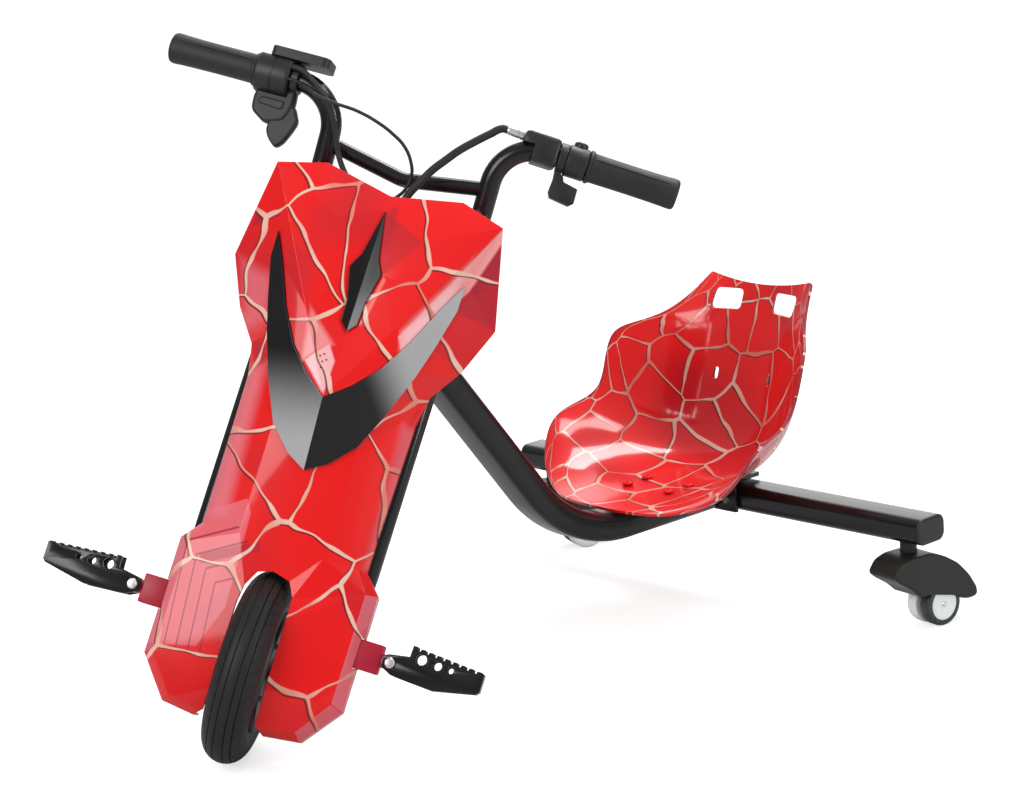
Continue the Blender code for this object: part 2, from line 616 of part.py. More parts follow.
# Frames of the assembly
TYRE_ROUND = TYRE_WIDTH / 2
WHEEL_LEAN = math.sin(PARKED_STEER) * math.sin(RAKE)
AXLE_HEIGHT = (WHEEL_RADIUS - TYRE_ROUND) * math.sqrt(1 - WHEEL_LEAN ** 2) + TYRE_ROUND
SIDES = (("left", 1), ("right", -1))

HEAD_AXIS = Matrix.Translation((0, 0, AXLE_HEIGHT)) @ Matrix.Rotation(-RAKE, 4, "X")

trike = empty("trike")
head = empty("head_axis", trike, HEAD_AXIS)
steering = empty("steering_axis", head, Matrix.Rotation(PARKED_STEER, 4, "Z"))
wheel_axis = empty("front_wheel_axis", steering)

# Heights along the steering axis, from the battery's shelf up
SHELF_TOP = SHELF_HEIGHT + SHELF_THICKNESS
LOWER_CROWN = SHELF_TOP + FIT + BATTERY_SIZE[2] + LEAD_ROOM
HEAD_BOTTOM = LOWER_CROWN + CROWN_THICKNESS + CUP_HEIGHT + 2 * FIT
HEAD_TOP = HEAD_BOTTOM + HEAD_LENGTH
UPPER_CROWN = HEAD_TOP + CUP_HEIGHT + 2 * FIT
UPRIGHT_TOP = UPPER_CROWN + CROWN_THICKNESS + UPRIGHT_ABOVE_CROWN
BAR_HEIGHT = UPRIGHT_TOP + BAR_RISE
REAR_COVER_TOP = LOWER_CROWN - REAR_COVER_BELOW_CROWN

# The seat's own frame: on top of its bracket, at the line of the rear axle
SPINE_TOP = SPINE_LEVEL + SPINE_THICKNESS / 2
SEAT_BASE = SPINE_TOP + FIT + SEAT_PLATE_THICKNESS
SEAT_PLACE = Matrix.Translation((0, REAR_AXLE_Y, SEAT_BASE))


def frame_point(height_on_axis):
    """A point of the steering axis in the trike's own frame, as (Y, Z)."""
    return height_on_axis * math.sin(RAKE), AXLE_HEIGHT + height_on_axis * math.cos(RAKE)


def box_tube(name, path, width, thickness, corner, steps):
    """A rounded-rectangle bar along a path that bends in the YZ plane only."""
    section = rounded_rectangle(width, thickness, corner, steps)
    bm = bmesh.new()
    rings = []
    for i, point in enumerate(path):
        before = path[max(i - 1, 0)]
        after = path[min(i + 1, len(path) - 1)]
        direction = (after - before).normalized()
        normal = Vector((0, -direction.z, direction.y))
        rings.append([bm.verts.new(point + Vector((x, 0, 0)) + normal * y) for x, y in section])
    for ring, following in zip(rings, rings[1:]):
        for i in range(len(ring)):
            j = (i + 1) % len(ring)
            bm.faces.new((ring[i], ring[j], following[j], following[i]))
    bm.faces.new(rings[0][::-1])
    bm.faces.new(rings[-1])
    bmesh.ops.recalc_face_normals(bm, faces=bm.faces)
    return new_object(name, mesh_from(bm, name), trike, BLACK_PAINT)


def make_spine():
    """Main tube: a bent box tube, open at its foot, the head tube and the plate that meets the crossbar."""
    head_y, head_z = frame_point(SPINE_AT_HEAD)
    end_y = REAR_AXLE_Y - CROSSBAR_WIDTH / 2 - FIT
    plate_y = end_y - END_PLATE_THICKNESS / 2
    start = Vector((0, head_y, head_z))
    bend = Vector((0, end_y - SPINE_LEVEL_RUN, SPINE_LEVEL))
    path = filleted([start, bend, (0, plate_y, SPINE_LEVEL)], SPINE_BEND, 7)
    spine = box_tube("main_frame", path, SPINE_WIDTH, SPINE_THICKNESS, SPINE_CORNER, 2)
    inside_start = start + (bend - start).normalized() * (HEAD_RADIUS + CUT_PAST)
    inside = filleted([inside_start, bend, (0, end_y + CUT_PAST, SPINE_LEVEL)], SPINE_BEND, 7)
    hollow = box_tube("spine_hollow", inside, SPINE_WIDTH - 2 * SPINE_WALL, SPINE_THICKNESS - 2 * SPINE_WALL,
                      SPINE_CORNER - SPINE_WALL, 1)
    head_tube = rod("head_tube", HEAD_RADIUS, (0, 0, HEAD_BOTTOM), (0, 0, HEAD_TOP), trike, BLACK_PAINT, 20,
                    HEAD_AXIS)
    bore = rod("head_bore", HEAD_BORE, (0, 0, HEAD_BOTTOM - CUT_PAST), (0, 0, HEAD_TOP + CUT_PAST), trike,
               BLACK_PAINT, 20, HEAD_AXIS)
    end_plate = block("end_plate", (2 * END_PLATE_HALF, END_PLATE_THICKNESS, CROSSBAR_HEIGHT - END_PLATE_SHORTER),
                      (0, plate_y, CROSSBAR_Z), trike, BLACK_PAINT)
    holes = [rod("end_plate_hole", BOLT_RADIUS + FIT, (side * CROSSBAR_BOLT_X, end_y - CUT_PAST, CROSSBAR_Z),
                 (side * CROSSBAR_BOLT_X, end_y + CUT_PAST, CROSSBAR_Z), trike, BLACK_PAINT, 12)
             for _, side in SIDES]
    combine(spine, "UNION", head_tube, end_plate)
    combine(spine, "DIFFERENCE", hollow, bore, *holes)


def make_head_bearings():
    """The two bearing cups between the head tube and the fork's crowns."""
    inner = STEERER_RADIUS + FIT
    for name, base in (("head_bearing_lower", LOWER_CROWN + CROWN_THICKNESS + FIT),
                       ("head_bearing_upper", HEAD_TOP + FIT)):
        top = base + CUP_HEIGHT
        profile = [(inner, top), (CUP_RADIUS, top), (CUP_RADIUS, base), (inner, base)]
        turned(name, profile, trike, ZINC, 20, closed=True, place=HEAD_AXIS)


def make_crossbar():
    """Rear crossbar: a hollow tube, an end cap in each end and the two bolts that hold it to the main tube."""
    outer = rounded_rectangle(CROSSBAR_WIDTH, CROSSBAR_HEIGHT, CROSSBAR_CORNER)
    hollow = rounded_rectangle(CROSSBAR_WIDTH - 2 * CROSSBAR_WALL, CROSSBAR_HEIGHT - 2 * CROSSBAR_WALL,
                               CROSSBAR_CORNER - CROSSBAR_WALL)
    length = 2 * (CROSSBAR_HALF - CAP_FLANGE - FIT)
    centre = Matrix.Translation((0, REAR_AXLE_Y, CROSSBAR_Z))
    bar = plate("rear_crossbar", (outer, hollow), length, trike, BLACK_PAINT, FACING_SIDE, centre)
    plug = rounded_rectangle(CROSSBAR_WIDTH - 2 * CROSSBAR_WALL - 2 * FIT,
                             CROSSBAR_HEIGHT - 2 * CROSSBAR_WALL - 2 * FIT, CROSSBAR_CORNER - CROSSBAR_WALL - FIT)
    for name, side in SIDES:
        flange_x = side * (CROSSBAR_HALF - CAP_FLANGE / 2)
        plug_x = side * (CROSSBAR_HALF - CAP_FLANGE - (CAP_PLUG - CAP_LAP) / 2)
        cap = plate("crossbar_cap_" + name, (outer,), CAP_FLANGE, trike, BLACK_PLASTIC, FACING_SIDE,
                    centre @ Matrix.Translation((flange_x, 0, 0)))
        stub = plate("cap_plug", (plug,), CAP_PLUG + CAP_LAP, trike, BLACK_PLASTIC, FACING_SIDE,
                     centre @ Matrix.Translation((plug_x, 0, 0)))
        combine(cap, "UNION", stub)
        stem_x = side * (CROSSBAR_HALF - CASTOR_INSET)
        stem_hole = rod("stem_hole", CASTOR_PIN_RADIUS + FIT, (stem_x, REAR_AXLE_Y, CROSSBAR_Z - CROSSBAR_HEIGHT),
                        (stem_x, REAR_AXLE_Y, CROSSBAR_Z), trike, BLACK_PAINT, 16)
        x = side * CROSSBAR_BOLT_X
        bolt_hole = rod("bolt_hole", BOLT_RADIUS + FIT, (x, REAR_AXLE_Y - CROSSBAR_WIDTH, CROSSBAR_Z),
                        (x, REAR_AXLE_Y + CROSSBAR_WIDTH, CROSSBAR_Z), trike, BLACK_PAINT, 12)
        combine(bar, "DIFFERENCE", stem_hole, bolt_hole)
        back = REAR_AXLE_Y + CROSSBAR_WIDTH / 2 + FIT
        reach = CROSSBAR_WIDTH + END_PLATE_THICKNESS + BOLT_END
        profile = bolt_head(BOLT_HEAD_RADIUS, BOLT_HEAD_HEIGHT) + [(BOLT_RADIUS, 0), (BOLT_RADIUS, -reach),
                                                                   (0, -reach)]
        turned("crossbar_bolt_" + name, profile, trike, ZINC, 16,
               place=Matrix.Translation((x, back, CROSSBAR_Z)) @ Matrix.Rotation(-math.pi / 2, 4, "X"))


def make_seat():
    """Bucket seat: a moulded shell lofted from lip to back, with two hand holes and two strap slots."""
    bm = bmesh.new()
    rows = []
    for (middle_y, middle_z), rim, fullness in SEAT_STATIONS:
        row = []
        for i in range(SEAT_ACROSS + 1):
            share = i / SEAT_ACROSS
            out = math.sin(share * math.pi / 2) ** SEAT_SPREAD
            rise = out ** fullness
            row.append(bm.verts.new((rim[0] * out, middle_y + (rim[1] - middle_y) * rise,
                                     middle_z + (rim[2] - middle_z) * rise)))
        rows.append(row)
    for row, following in zip(rows, rows[1:]):
        for i in range(SEAT_ACROSS):
            bm.faces.new((row[i], row[i + 1], following[i + 1], following[i]))
    seat = new_object("seat_shell", mesh_from(bm, "seat_shell"), trike, RED_GLOSS, SEAT_PLACE)
    mirror = seat.modifiers.new("mirror", "MIRROR")
    mirror.merge_threshold = 0.00001
    mirror.use_clip = True
    smooth = seat.modifiers.new("moulded", "SUBSURF")
    smooth.levels = 1
    smooth.render_levels = 1
    smooth.boundary_smooth = "PRESERVE_CORNERS"
    wall = seat.modifiers.new("wall", "SOLIDIFY")
    wall.thickness = SEAT_WALL
    wall.offset = -1
    for _, side in SIDES:
        for size, corner, (x, z) in ((STRAP_SLOT, STRAP_SLOT_CORNER, STRAP_SLOT_PLACE),
                                     (HAND_HOLE, HAND_HOLE_CORNER, HAND_HOLE_PLACE)):
            outline = rounded_rectangle(*size, corner, 2, (side * x, z))
            back_y = SEAT_STATIONS[-1][0][0]
            cut = plate("seat_hole", (outline,), 2 * back_y, trike, RED_GLOSS, FACING_FRONT,
                        SEAT_PLACE @ Matrix.Translation((0, back_y, 0)))
            combine(seat, "DIFFERENCE", cut)


def make_seat_mounting():
    """Seat bracket: a plate on the main tube and a strut up the back of the shell, with four seat bolts."""
    back = CROSSBAR_WIDTH / 2
    middle_z = -SEAT_PLATE_THICKNESS / 2
    bracket = block("seat_bracket", (2 * SEAT_PLATE_HALF, back - SEAT_PLATE_FRONT, SEAT_PLATE_THICKNESS),
                    (0, (SEAT_PLATE_FRONT + back) / 2, middle_z), trike, BLACK_PAINT, place=SEAT_PLACE)
    near, far = [(back - SEAT_PLATE_THICKNESS, middle_z)], [(back - FIT, FIT - SEAT_PLATE_THICKNESS)]
    for i in SEAT_STRUT_STATIONS:
        before, middle, after = (Vector(SEAT_STATIONS[j][0]) for j in (i - 1, i, i + 1))
        along = (after - before).normalized()
        outward_way = Vector((along.y, -along.x))
        near.append(tuple(middle + outward_way * (SEAT_WALL + SLIDE)))
        far.append(tuple(middle + outward_way * (SEAT_WALL + SLIDE + SEAT_STRUT_THICKNESS)))
    strut = plate("strut", (near + far[::-1],), 2 * SEAT_STRUT_HALF, trike, BLACK_PAINT, FACING_SIDE, SEAT_PLACE)
    combine(bracket, "UNION", strut)
    seat = bpy.data.objects["seat_shell"]
    reach = SEAT_BOLT_STAND + SEAT_PLATE_THICKNESS + SEAT_BOLT_END
    profile = bolt_head(SEAT_BOLT_HEAD_RADIUS, SEAT_BOLT_HEAD_HEIGHT) + [
        (SEAT_BOLT_RADIUS, 0), (SEAT_BOLT_RADIUS, -reach), (0, -reach)]
    number = 0
    for y in SEAT_BOLT_Y:
        for _, side in SIDES:
            number += 1
            x = side * SEAT_BOLT_X
            hole = rod("seat_bolt_hole", SEAT_BOLT_RADIUS + FIT, (x, y, -SEAT_PLATE_THICKNESS - CUT_PAST),
                       (x, y, CUT_PAST), trike, BLACK_PAINT, 12, SEAT_PLACE)
            combine(seat, "DIFFERENCE", hole)
            combine(bracket, "DIFFERENCE", hole)
            turned("seat_bolt_%d" % number, profile, trike, ZINC, 12,
                   place=SEAT_PLACE @ Matrix.Translation((x, y, SEAT_BOLT_STAND)))


def make_castors():
    """Two swivelling castors: a fixed stem, a hood that turns on it, and a pair of wheels on an axle."""
    bar_bottom = CROSSBAR_Z - CROSSBAR_HEIGHT / 2
    for name, side, heading in (("left", 1, CASTOR_HEADING_LEFT), ("right", -1, CASTOR_HEADING_RIGHT)):
        x = side * (CROSSBAR_HALF - CASTOR_INSET)
        stem_top = CROSSBAR_Z + CASTOR_PIN_RISE
        profile = [(0, stem_top), (CASTOR_PIN_RADIUS, stem_top),
                   (CASTOR_PIN_RADIUS, bar_bottom - FIT), (CASTOR_STEM_RADIUS, bar_bottom - FIT),
                   (CASTOR_STEM_RADIUS, HOOD_TOP + MOVING_GAP), (CASTOR_PIN_RADIUS, HOOD_TOP + MOVING_GAP),
                   (CASTOR_PIN_RADIUS, HOOD_TOP - CASTOR_PIN_DEPTH), (0, HOOD_TOP - CASTOR_PIN_DEPTH)]
        turned("castor_stem_" + name, profile, trike, GREY_PLASTIC, 16,
               place=Matrix.Translation((x, REAR_AXLE_Y, 0)))
        swivel = empty("castor_axis_" + name, trike,
                       Matrix.Translation((x, REAR_AXLE_Y, 0)) @ Matrix.Rotation(heading, 4, "Z"))
        hub = Matrix.Translation((CASTOR_TRAIL, 0, 0))
        hood = plate("castor_hood_" + name, (HOOD_OUTLINE,), 2 * HOOD_HALF_WIDTH, swivel, GREY_PLASTIC,
                     hub @ FACING_FRONT)
        bm = bmesh.new()
        bm.from_mesh(hood.data)
        bmesh.ops.dissolve_limit(bm, angle_limit=0.01, verts=bm.verts, edges=bm.edges)
        edges = [e for e in bm.edges if len(e.link_faces) == 2 and e.calc_face_angle(0) > HOOD_SHARP]
        bmesh.ops.bevel(bm, geom=edges, offset=HOOD_CORNER, segments=2, profile=0.5, affect="EDGES",
                         clamp_overlap=True)
        bm.to_mesh(hood.data)
        bm.free()
        lug = plate("axle_lug", (LUG_OUTLINE,), CASTOR_WEB, swivel, GREY_PLASTIC, hub @ FACING_FRONT)
        pocket_width = HOOD_HALF_WIDTH - HOOD_WALL - CASTOR_WEB / 2
        for turn in (1, -1):
            middle = turn * (CASTOR_WEB + pocket_width) / 2
            pocket = plate("wheel_pocket", (POCKET_OUTLINE,), pocket_width, swivel, GREY_PLASTIC,
                           hub @ Matrix.Translation((0, middle, 0)) @ FACING_FRONT)
            combine(hood, "DIFFERENCE", pocket)
        pin_hole = rod("pin_hole", CASTOR_PIN_RADIUS + SLIDE, (0, 0, HOOD_TOP - CASTOR_PIN_DEPTH - MOVING_GAP),
                       (0, 0, HOOD_TOP + CUT_PAST), swivel, GREY_PLASTIC, 16)
        hole_half = HOOD_HALF_WIDTH + CUT_PAST
        axle_hole = rod("axle_hole", CASTOR_AXLE_RADIUS + SLIDE, (CASTOR_TRAIL, -hole_half, CASTOR_RADIUS),
                        (CASTOR_TRAIL, hole_half, CASTOR_RADIUS), swivel, GREY_PLASTIC, 16)
        combine(hood, "UNION", lug)
        combine(hood, "DIFFERENCE", pin_hole, axle_hole)

        axle = empty("castor_wheel_axis_" + name, swivel, Matrix.Translation((CASTOR_TRAIL, 0, CASTOR_RADIUS)))
        inner_face = CASTOR_WEB / 2 + SLIDE
        outer_face = inner_face + CASTOR_WHEEL_WIDTH
        rod("castor_axle_" + name, CASTOR_AXLE_RADIUS, (0, -outer_face, 0), (0, outer_face, 0), axle, ZINC, 12)
        bore = CASTOR_AXLE_RADIUS + FIT
        edge = CASTOR_EDGE
        profile = [(bore, outer_face - CASTOR_DISC_SINK), (CASTOR_DISC_RADIUS, outer_face),
                   (CASTOR_RADIUS - edge, outer_face),
                   (CASTOR_RADIUS - edge * 0.3, outer_face - edge * 0.3), (CASTOR_RADIUS, outer_face - edge),
                   (CASTOR_RADIUS, inner_face + edge * 0.5), (CASTOR_RADIUS - edge * 0.5, inner_face),
                   (bore, inner_face)]
        for place_name, turn in (("outer", -side), ("inner", side)):
            turned("castor_wheel_%s_%s" % (name, place_name), profile, axle, MILKY, 24, closed=True,
                   place=Matrix.Rotation(turn * math.pi / 2, 4, "X"))


def make_fork():
    """Fork: two uprights joined by two crowns, a battery shelf and a dropout plate at each foot."""
    foot = SHELF_HEIGHT - UPRIGHT_BELOW_SHELF
    fork = rod("fork_frame", UPRIGHT_RADIUS, (UPRIGHT_X, 0, foot), (UPRIGHT_X, 0, UPRIGHT_TOP), steering,
               BLACK_PAINT)
    other = rod("upright_right", UPRIGHT_RADIUS, (-UPRIGHT_X, 0, foot), (-UPRIGHT_X, 0, UPRIGHT_TOP), steering,
                BLACK_PAINT)
    across = 2 * UPRIGHT_X
    crowns = [block("crown", (across, CROWN_DEPTH, CROWN_THICKNESS), (0, 0, height + CROWN_THICKNESS / 2),
                    steering, BLACK_PAINT) for height in (LOWER_CROWN, UPPER_CROWN)]
    shelf_z = SHELF_TOP - SHELF_THICKNESS / 2
    beam = block("shelf_beam", (across, SHELF_BEAM_DEPTH, SHELF_THICKNESS), (0, 0, shelf_z), steering, BLACK_PAINT)
    tray = block("shelf_tray", (2 * SHELF_HALF_WIDTH, SHELF_DEPTH, SHELF_THICKNESS), (0, 0, shelf_z), steering,
                 BLACK_PAINT)
    combine(fork, "UNION", other, *crowns, beam, tray)
    low, high = -DROPOUT_BELOW_AXLE, foot + DROPOUT_LAP
    for _, side in SIDES:
        hollow = rod("upright_hollow", UPRIGHT_RADIUS - TUBE_WALL, (side * UPRIGHT_X, 0, SHELF_TOP + CUT_PAST),
                     (side * UPRIGHT_X, 0, UPRIGHT_TOP + CUT_PAST), steering, BLACK_PAINT, 12)
        combine(fork, "DIFFERENCE", hollow)
        outline = rounded_rectangle(DROPOUT_WIDTH, high - low, DROPOUT_CORNER, 3, (0, (high + low) / 2))
        axle_hole = circle(AXLE_RADIUS + FIT, 16)
        dropout = plate("dropout", (outline, axle_hole), DROPOUT_THICKNESS, steering, BLACK_PAINT, FACING_SIDE,
                        Matrix.Translation((side * UPRIGHT_X, 0, 0)))
        combine(fork, "UNION", dropout)
    steerer_hole = rod("steerer_hole", STEERER_RADIUS + FIT, (0, 0, LOWER_CROWN - CUT_PAST),
                       (0, 0, UPPER_CROWN + CUT_PAST), steering, BLACK_PAINT)
    combine(fork, "DIFFERENCE", steerer_hole)

    top = UPPER_CROWN + CROWN_THICKNESS + FIT
    bottom = LOWER_CROWN - FIT
    end = bottom - STEERING_END
    head_profile = bolt_head(STEERING_HEAD_RADIUS, STEERING_HEAD_HEIGHT, top)
    turned("steering_bolt", head_profile + [(STEERER_RADIUS, top), (STEERER_RADIUS, end), (0, end)], steering, ZINC,
           16)
    nut = (circle(STEERING_NUT_RADIUS, 6), circle(STEERER_RADIUS + FIT, 16))
    plate("steering_nut", nut, STEERING_NUT_HEIGHT, steering, ZINC,
          Matrix.Translation((0, 0, bottom - STEERING_NUT_HEIGHT / 2)))


def riser_path(side, past=0.0):
    """The middle line of one half of the handlebar, from its foot on the fork to the end of the bar."""
    lean_x = side * UPRIGHT_X
    end = GRIP_START + GRIP_LENGTH - GRIP_END_WALL - FIT + past
    foot = UPRIGHT_TOP + 2 * FIT - past
    corners = [(lean_x, 0, foot), (lean_x, 0, UPRIGHT_TOP + LEAN_RISE), (lean_x, -BAR_FORWARD, BAR_HEIGHT),
               (lean_x + side * end * math.cos(BAR_SWEEP), -BAR_FORWARD + end * math.sin(BAR_SWEEP), BAR_HEIGHT)]
    return filleted(corners, BAR_BEND, 5)


def bar_place(side):
    """A frame at the top corner of a riser: X out along the bar, Z up."""
    turn = Matrix(((side * math.cos(BAR_SWEEP), -math.sin(BAR_SWEEP), 0), (math.sin(BAR_SWEEP),
                  side * math.cos(BAR_SWEEP), 0), (0, 0, 1)))
    return Matrix.Translation((side * UPRIGHT_X, -BAR_FORWARD, BAR_HEIGHT)) @ turn.to_4x4()


def make_handlebar():
    """Handlebar: two risers that bend out to the grips, joined by a shallow V brace, with a clamp at each foot."""
    bar = tube("handlebar", riser_path(1), BAR_RADIUS, steering, BLACK_PAINT)
    right = tube("handlebar_right", riser_path(-1), BAR_RADIUS, steering, BLACK_PAINT)
    brace_y = -(BRACE_RISE - LEAN_RISE) * BAR_FORWARD / (BAR_RISE - LEAN_RISE)
    brace_z = UPRIGHT_TOP + BRACE_RISE
    brace = tube("brace", filleted([(-UPRIGHT_X, brace_y, brace_z), (0, brace_y, brace_z - BRACE_DIP),
                                    (UPRIGHT_X, brace_y, brace_z)], BRACE_BEND, 3), BRACE_RADIUS, steering,
                 BLACK_PAINT)
    combine(bar, "UNION", right, brace)
    hollows = [tube("bar_hollow", riser_path(side, CUT_PAST), BAR_RADIUS - TUBE_WALL, steering, BLACK_PAINT, 2)
               for _, side in SIDES]
    combine(bar, "DIFFERENCE", *hollows)
    for name, side in SIDES:
        inner = UPRIGHT_RADIUS + FIT
        outer = inner + CLAMP_WALL
        top = UPRIGHT_TOP + CLAMP_HEIGHT / 2
        base = UPRIGHT_TOP - CLAMP_HEIGHT / 2
        profile = [(inner, top), (outer, top), (outer, base), (inner, base)]
        turned("riser_clamp_" + name, profile, steering, BLACK_PAINT, 20, closed=True,
               place=Matrix.Translation((side * UPRIGHT_X, 0, 0)))
        bore = BAR_RADIUS + FIT
        grip_end = GRIP_LENGTH
        flange = GRIP_RADIUS + GRIP_FLANGE
        profile = [(0, grip_end), (GRIP_RADIUS - GRIP_EDGE, grip_end), (GRIP_RADIUS, grip_end - GRIP_EDGE),
                   (GRIP_RADIUS, GRIP_FLANGE_LENGTH), (flange, GRIP_FLANGE_LENGTH / 2), (flange, 0), (bore, 0),
                   (bore, grip_end - GRIP_END_WALL), (0, grip_end - GRIP_END_WALL)]
        turned("grip_" + name, profile, steering, RUBBER, 20, place=bar_place(side) @ along_x(GRIP_START))


def make_throttle():
    """Right hand: the throttle's housing, its thumb paddle and the display pod on top of it."""
    place = bar_place(-1)
    profile = collar(BAR_RADIUS + FIT, THROTTLE_RADIUS, THROTTLE_LENGTH, HOUSING_EDGE)
    housing = turned("throttle_housing", profile, steering, BLACK_PLASTIC, 24, closed=True,
                     place=place @ along_x(THROTTLE_START))
    flat = block("pod_flat", (2 * THROTTLE_LENGTH, 3 * THROTTLE_RADIUS, THROTTLE_RADIUS),
                 (THROTTLE_START + THROTTLE_LENGTH / 2, 0, POD_SEAT + THROTTLE_RADIUS / 2), steering,
                 BLACK_PLASTIC, place=place)
    combine(housing, "DIFFERENCE", flat)

    pod_z = POD_SEAT + FIT
    pod_x = THROTTLE_START + THROTTLE_LENGTH - POD_SETBACK - POD_LENGTH / 2
    pod = block("display_pod", (POD_LENGTH, POD_WIDTH, POD_HEIGHT), (pod_x, 0, pod_z + POD_HEIGHT / 2), steering,
                BLACK_PLASTIC, POD_CORNER, place)
    window = block("pod_window", (POD_LENGTH - 2 * POD_RIM, POD_WIDTH - 2 * POD_RIM, 2 * POD_RECESS),
                   (pod_x, 0, pod_z + POD_HEIGHT), steering, BLACK_PLASTIC, place=place)
    combine(pod, "DIFFERENCE", window)

    lever_axis = empty("throttle_axis", steering, place)
    ring_start = THROTTLE_START - FIT * 2 - THUMB_RING_WIDTH
    ring = rod("thumb_ring", THUMB_RING_RADIUS, (ring_start, 0, 0), (ring_start + THUMB_RING_WIDTH, 0, 0),
               lever_axis, BLACK_PLASTIC, 20)
    past_housing = THROTTLE_START + THROTTLE_LENGTH + CUT_PAST
    ring_bore = rod("thumb_bore", BAR_RADIUS + SLIDE, (ring_start - CUT_PAST, 0, 0), (past_housing, 0, 0),
                    lever_axis, BLACK_PLASTIC, 20)
    clearance = rod("thumb_clearance", THROTTLE_RADIUS + MOVING_GAP, (THROTTLE_START - FIT * 2, 0, 0),
                    (past_housing, 0, 0), lever_axis, BLACK_PLASTIC, 20)
    paddle = plate("thumb_throttle", (THUMB_OUTLINE,), PADDLE_THICKNESS, lever_axis, BLACK_PLASTIC, FACING_FRONT)
    combine(paddle, "UNION", ring)
    combine(paddle, "DIFFERENCE", ring_bore, clearance)


def make_brake():
    """Left hand: the brake switch's housing, its finger paddle, and the horn's housing and button."""
    place = bar_place(1)
    housing = block("brake_housing", (BRAKE_HOUSING_LENGTH, 2 * BRAKE_HOUSING_RADIUS, 2 * BRAKE_HOUSING_RADIUS),
                    (BRAKE_START + BRAKE_HOUSING_LENGTH / 2, 0, BRAKE_HOUSING_RISE), steering, BLACK_PLASTIC,
                    BRAKE_HOUSING_CORNER, place)
    clearance = tube("bar_clearance", riser_path(1), BAR_RADIUS + FIT, steering, BLACK_PLASTIC)
    below = block("housing_below", (2 * BRAKE_STEP, 4 * BRAKE_HOUSING_RADIUS, 2 * BRAKE_HOUSING_RADIUS),
                  (BRAKE_START, 0, BRAKE_STEP_TOP - BRAKE_HOUSING_RADIUS), steering, BLACK_PLASTIC, place=place)
    combine(housing, "DIFFERENCE", clearance, below)

    ring_start = BRAKE_START + BRAKE_HOUSING_LENGTH + SLIDE
    ring_end = ring_start + BRAKE_RING_WIDTH
    lever_axis = empty("brake_axis", steering, place)
    ring = rod("brake_ring", BRAKE_RING_RADIUS, (ring_start, 0, 0), (ring_end, 0, 0), lever_axis, BLACK_PLASTIC, 20)
    past_switch = GRIP_START + CUT_PAST
    ring_bore = rod("brake_bore", BAR_RADIUS + SLIDE, (ring_start - CUT_PAST, 0, 0), (past_switch, 0, 0),
                    lever_axis, BLACK_PLASTIC, 20)
    clearance = rod("brake_clearance", SWITCH_RADIUS + MOVING_GAP, (ring_end, 0, 0), (past_switch, 0, 0),
                    lever_axis, BLACK_PLASTIC, 20)
    outline = [(ring_start + x, z) for x, z in BRAKE_PADDLE]
    paddle = plate("brake_lever", (outline,), BRAKE_PADDLE_THICKNESS, lever_axis, BLACK_PLASTIC, FACING_FRONT)
    combine(paddle, "UNION", ring)
    combine(paddle, "DIFFERENCE", ring_bore, clearance)

    switch_start = ring_end + SLIDE
    bore = BAR_RADIUS + FIT
    width = GRIP_START - FIT - switch_start
    profile = collar(bore, SWITCH_RADIUS, width, SWITCH_EDGE)
    switch = turned("horn_housing", profile, steering, BLACK_PLASTIC, 24, closed=True,
                    place=place @ along_x(switch_start))
    button_x = switch_start + width / 2
    sink = bore + HORN_FLOOR
    well = rod("horn_well", HORN_RADIUS + SLIDE, (button_x, 0, sink), (button_x, 0, SWITCH_RADIUS + CUT_PAST),
               steering, BLACK_PLASTIC, 16, place)
    combine(switch, "DIFFERENCE", well)
    base = sink + BUTTON_TRAVEL + SLIDE
    button = empty("horn_button_axis", steering, place @ Matrix.Translation((button_x, 0, base)))
    rise = SWITCH_RADIUS - base + BUTTON_STAND
    profile = [(0, rise), (HORN_RADIUS - SWITCH_EDGE, rise), (HORN_RADIUS, rise - SWITCH_EDGE), (HORN_RADIUS, 0),
               (0, 0)]
    turned("horn_button", profile, button, BLACK_PLASTIC, 16)

    tip = CABLE_RADIUS["brake_cable"]
    ferrule = [(0, FERRULE_LENGTH), (tip, FERRULE_LENGTH), (FERRULE_RADIUS, FERRULE_COLLAR), (FERRULE_RADIUS, 0),
               (0, 0)]
    turned("cable_ferrule", ferrule, steering, ZINC, 14,
           place=place @ Matrix.Translation((BRAKE_START - FIT, 0, FERRULE_RISE)) @
           Matrix.Rotation(-math.pi / 2, 4, "Y"))


def make_cables():
    """The three cables, from the hand controls down behind the cover to the motor controller."""
    for name, route in CABLE_ROUTES.items():
        points = smooth_route([(u, -w, UPRIGHT_TOP + v) for u, w, v in route], 3 * CABLE_RADIUS[name] + CABLE_STEP)
        tube(name, points, CABLE_RADIUS[name], steering, BLACK_PLASTIC, 2)


def outward(bm):
    """Turns an open sheet's faces to look forwards, the same way all over."""
    bmesh.ops.recalc_face_normals(bm, faces=bm.faces)
    if sum(face.normal.y * face.calc_area() for face in bm.faces) > 0:
        bmesh.ops.reverse_faces(bm, faces=bm.faces)


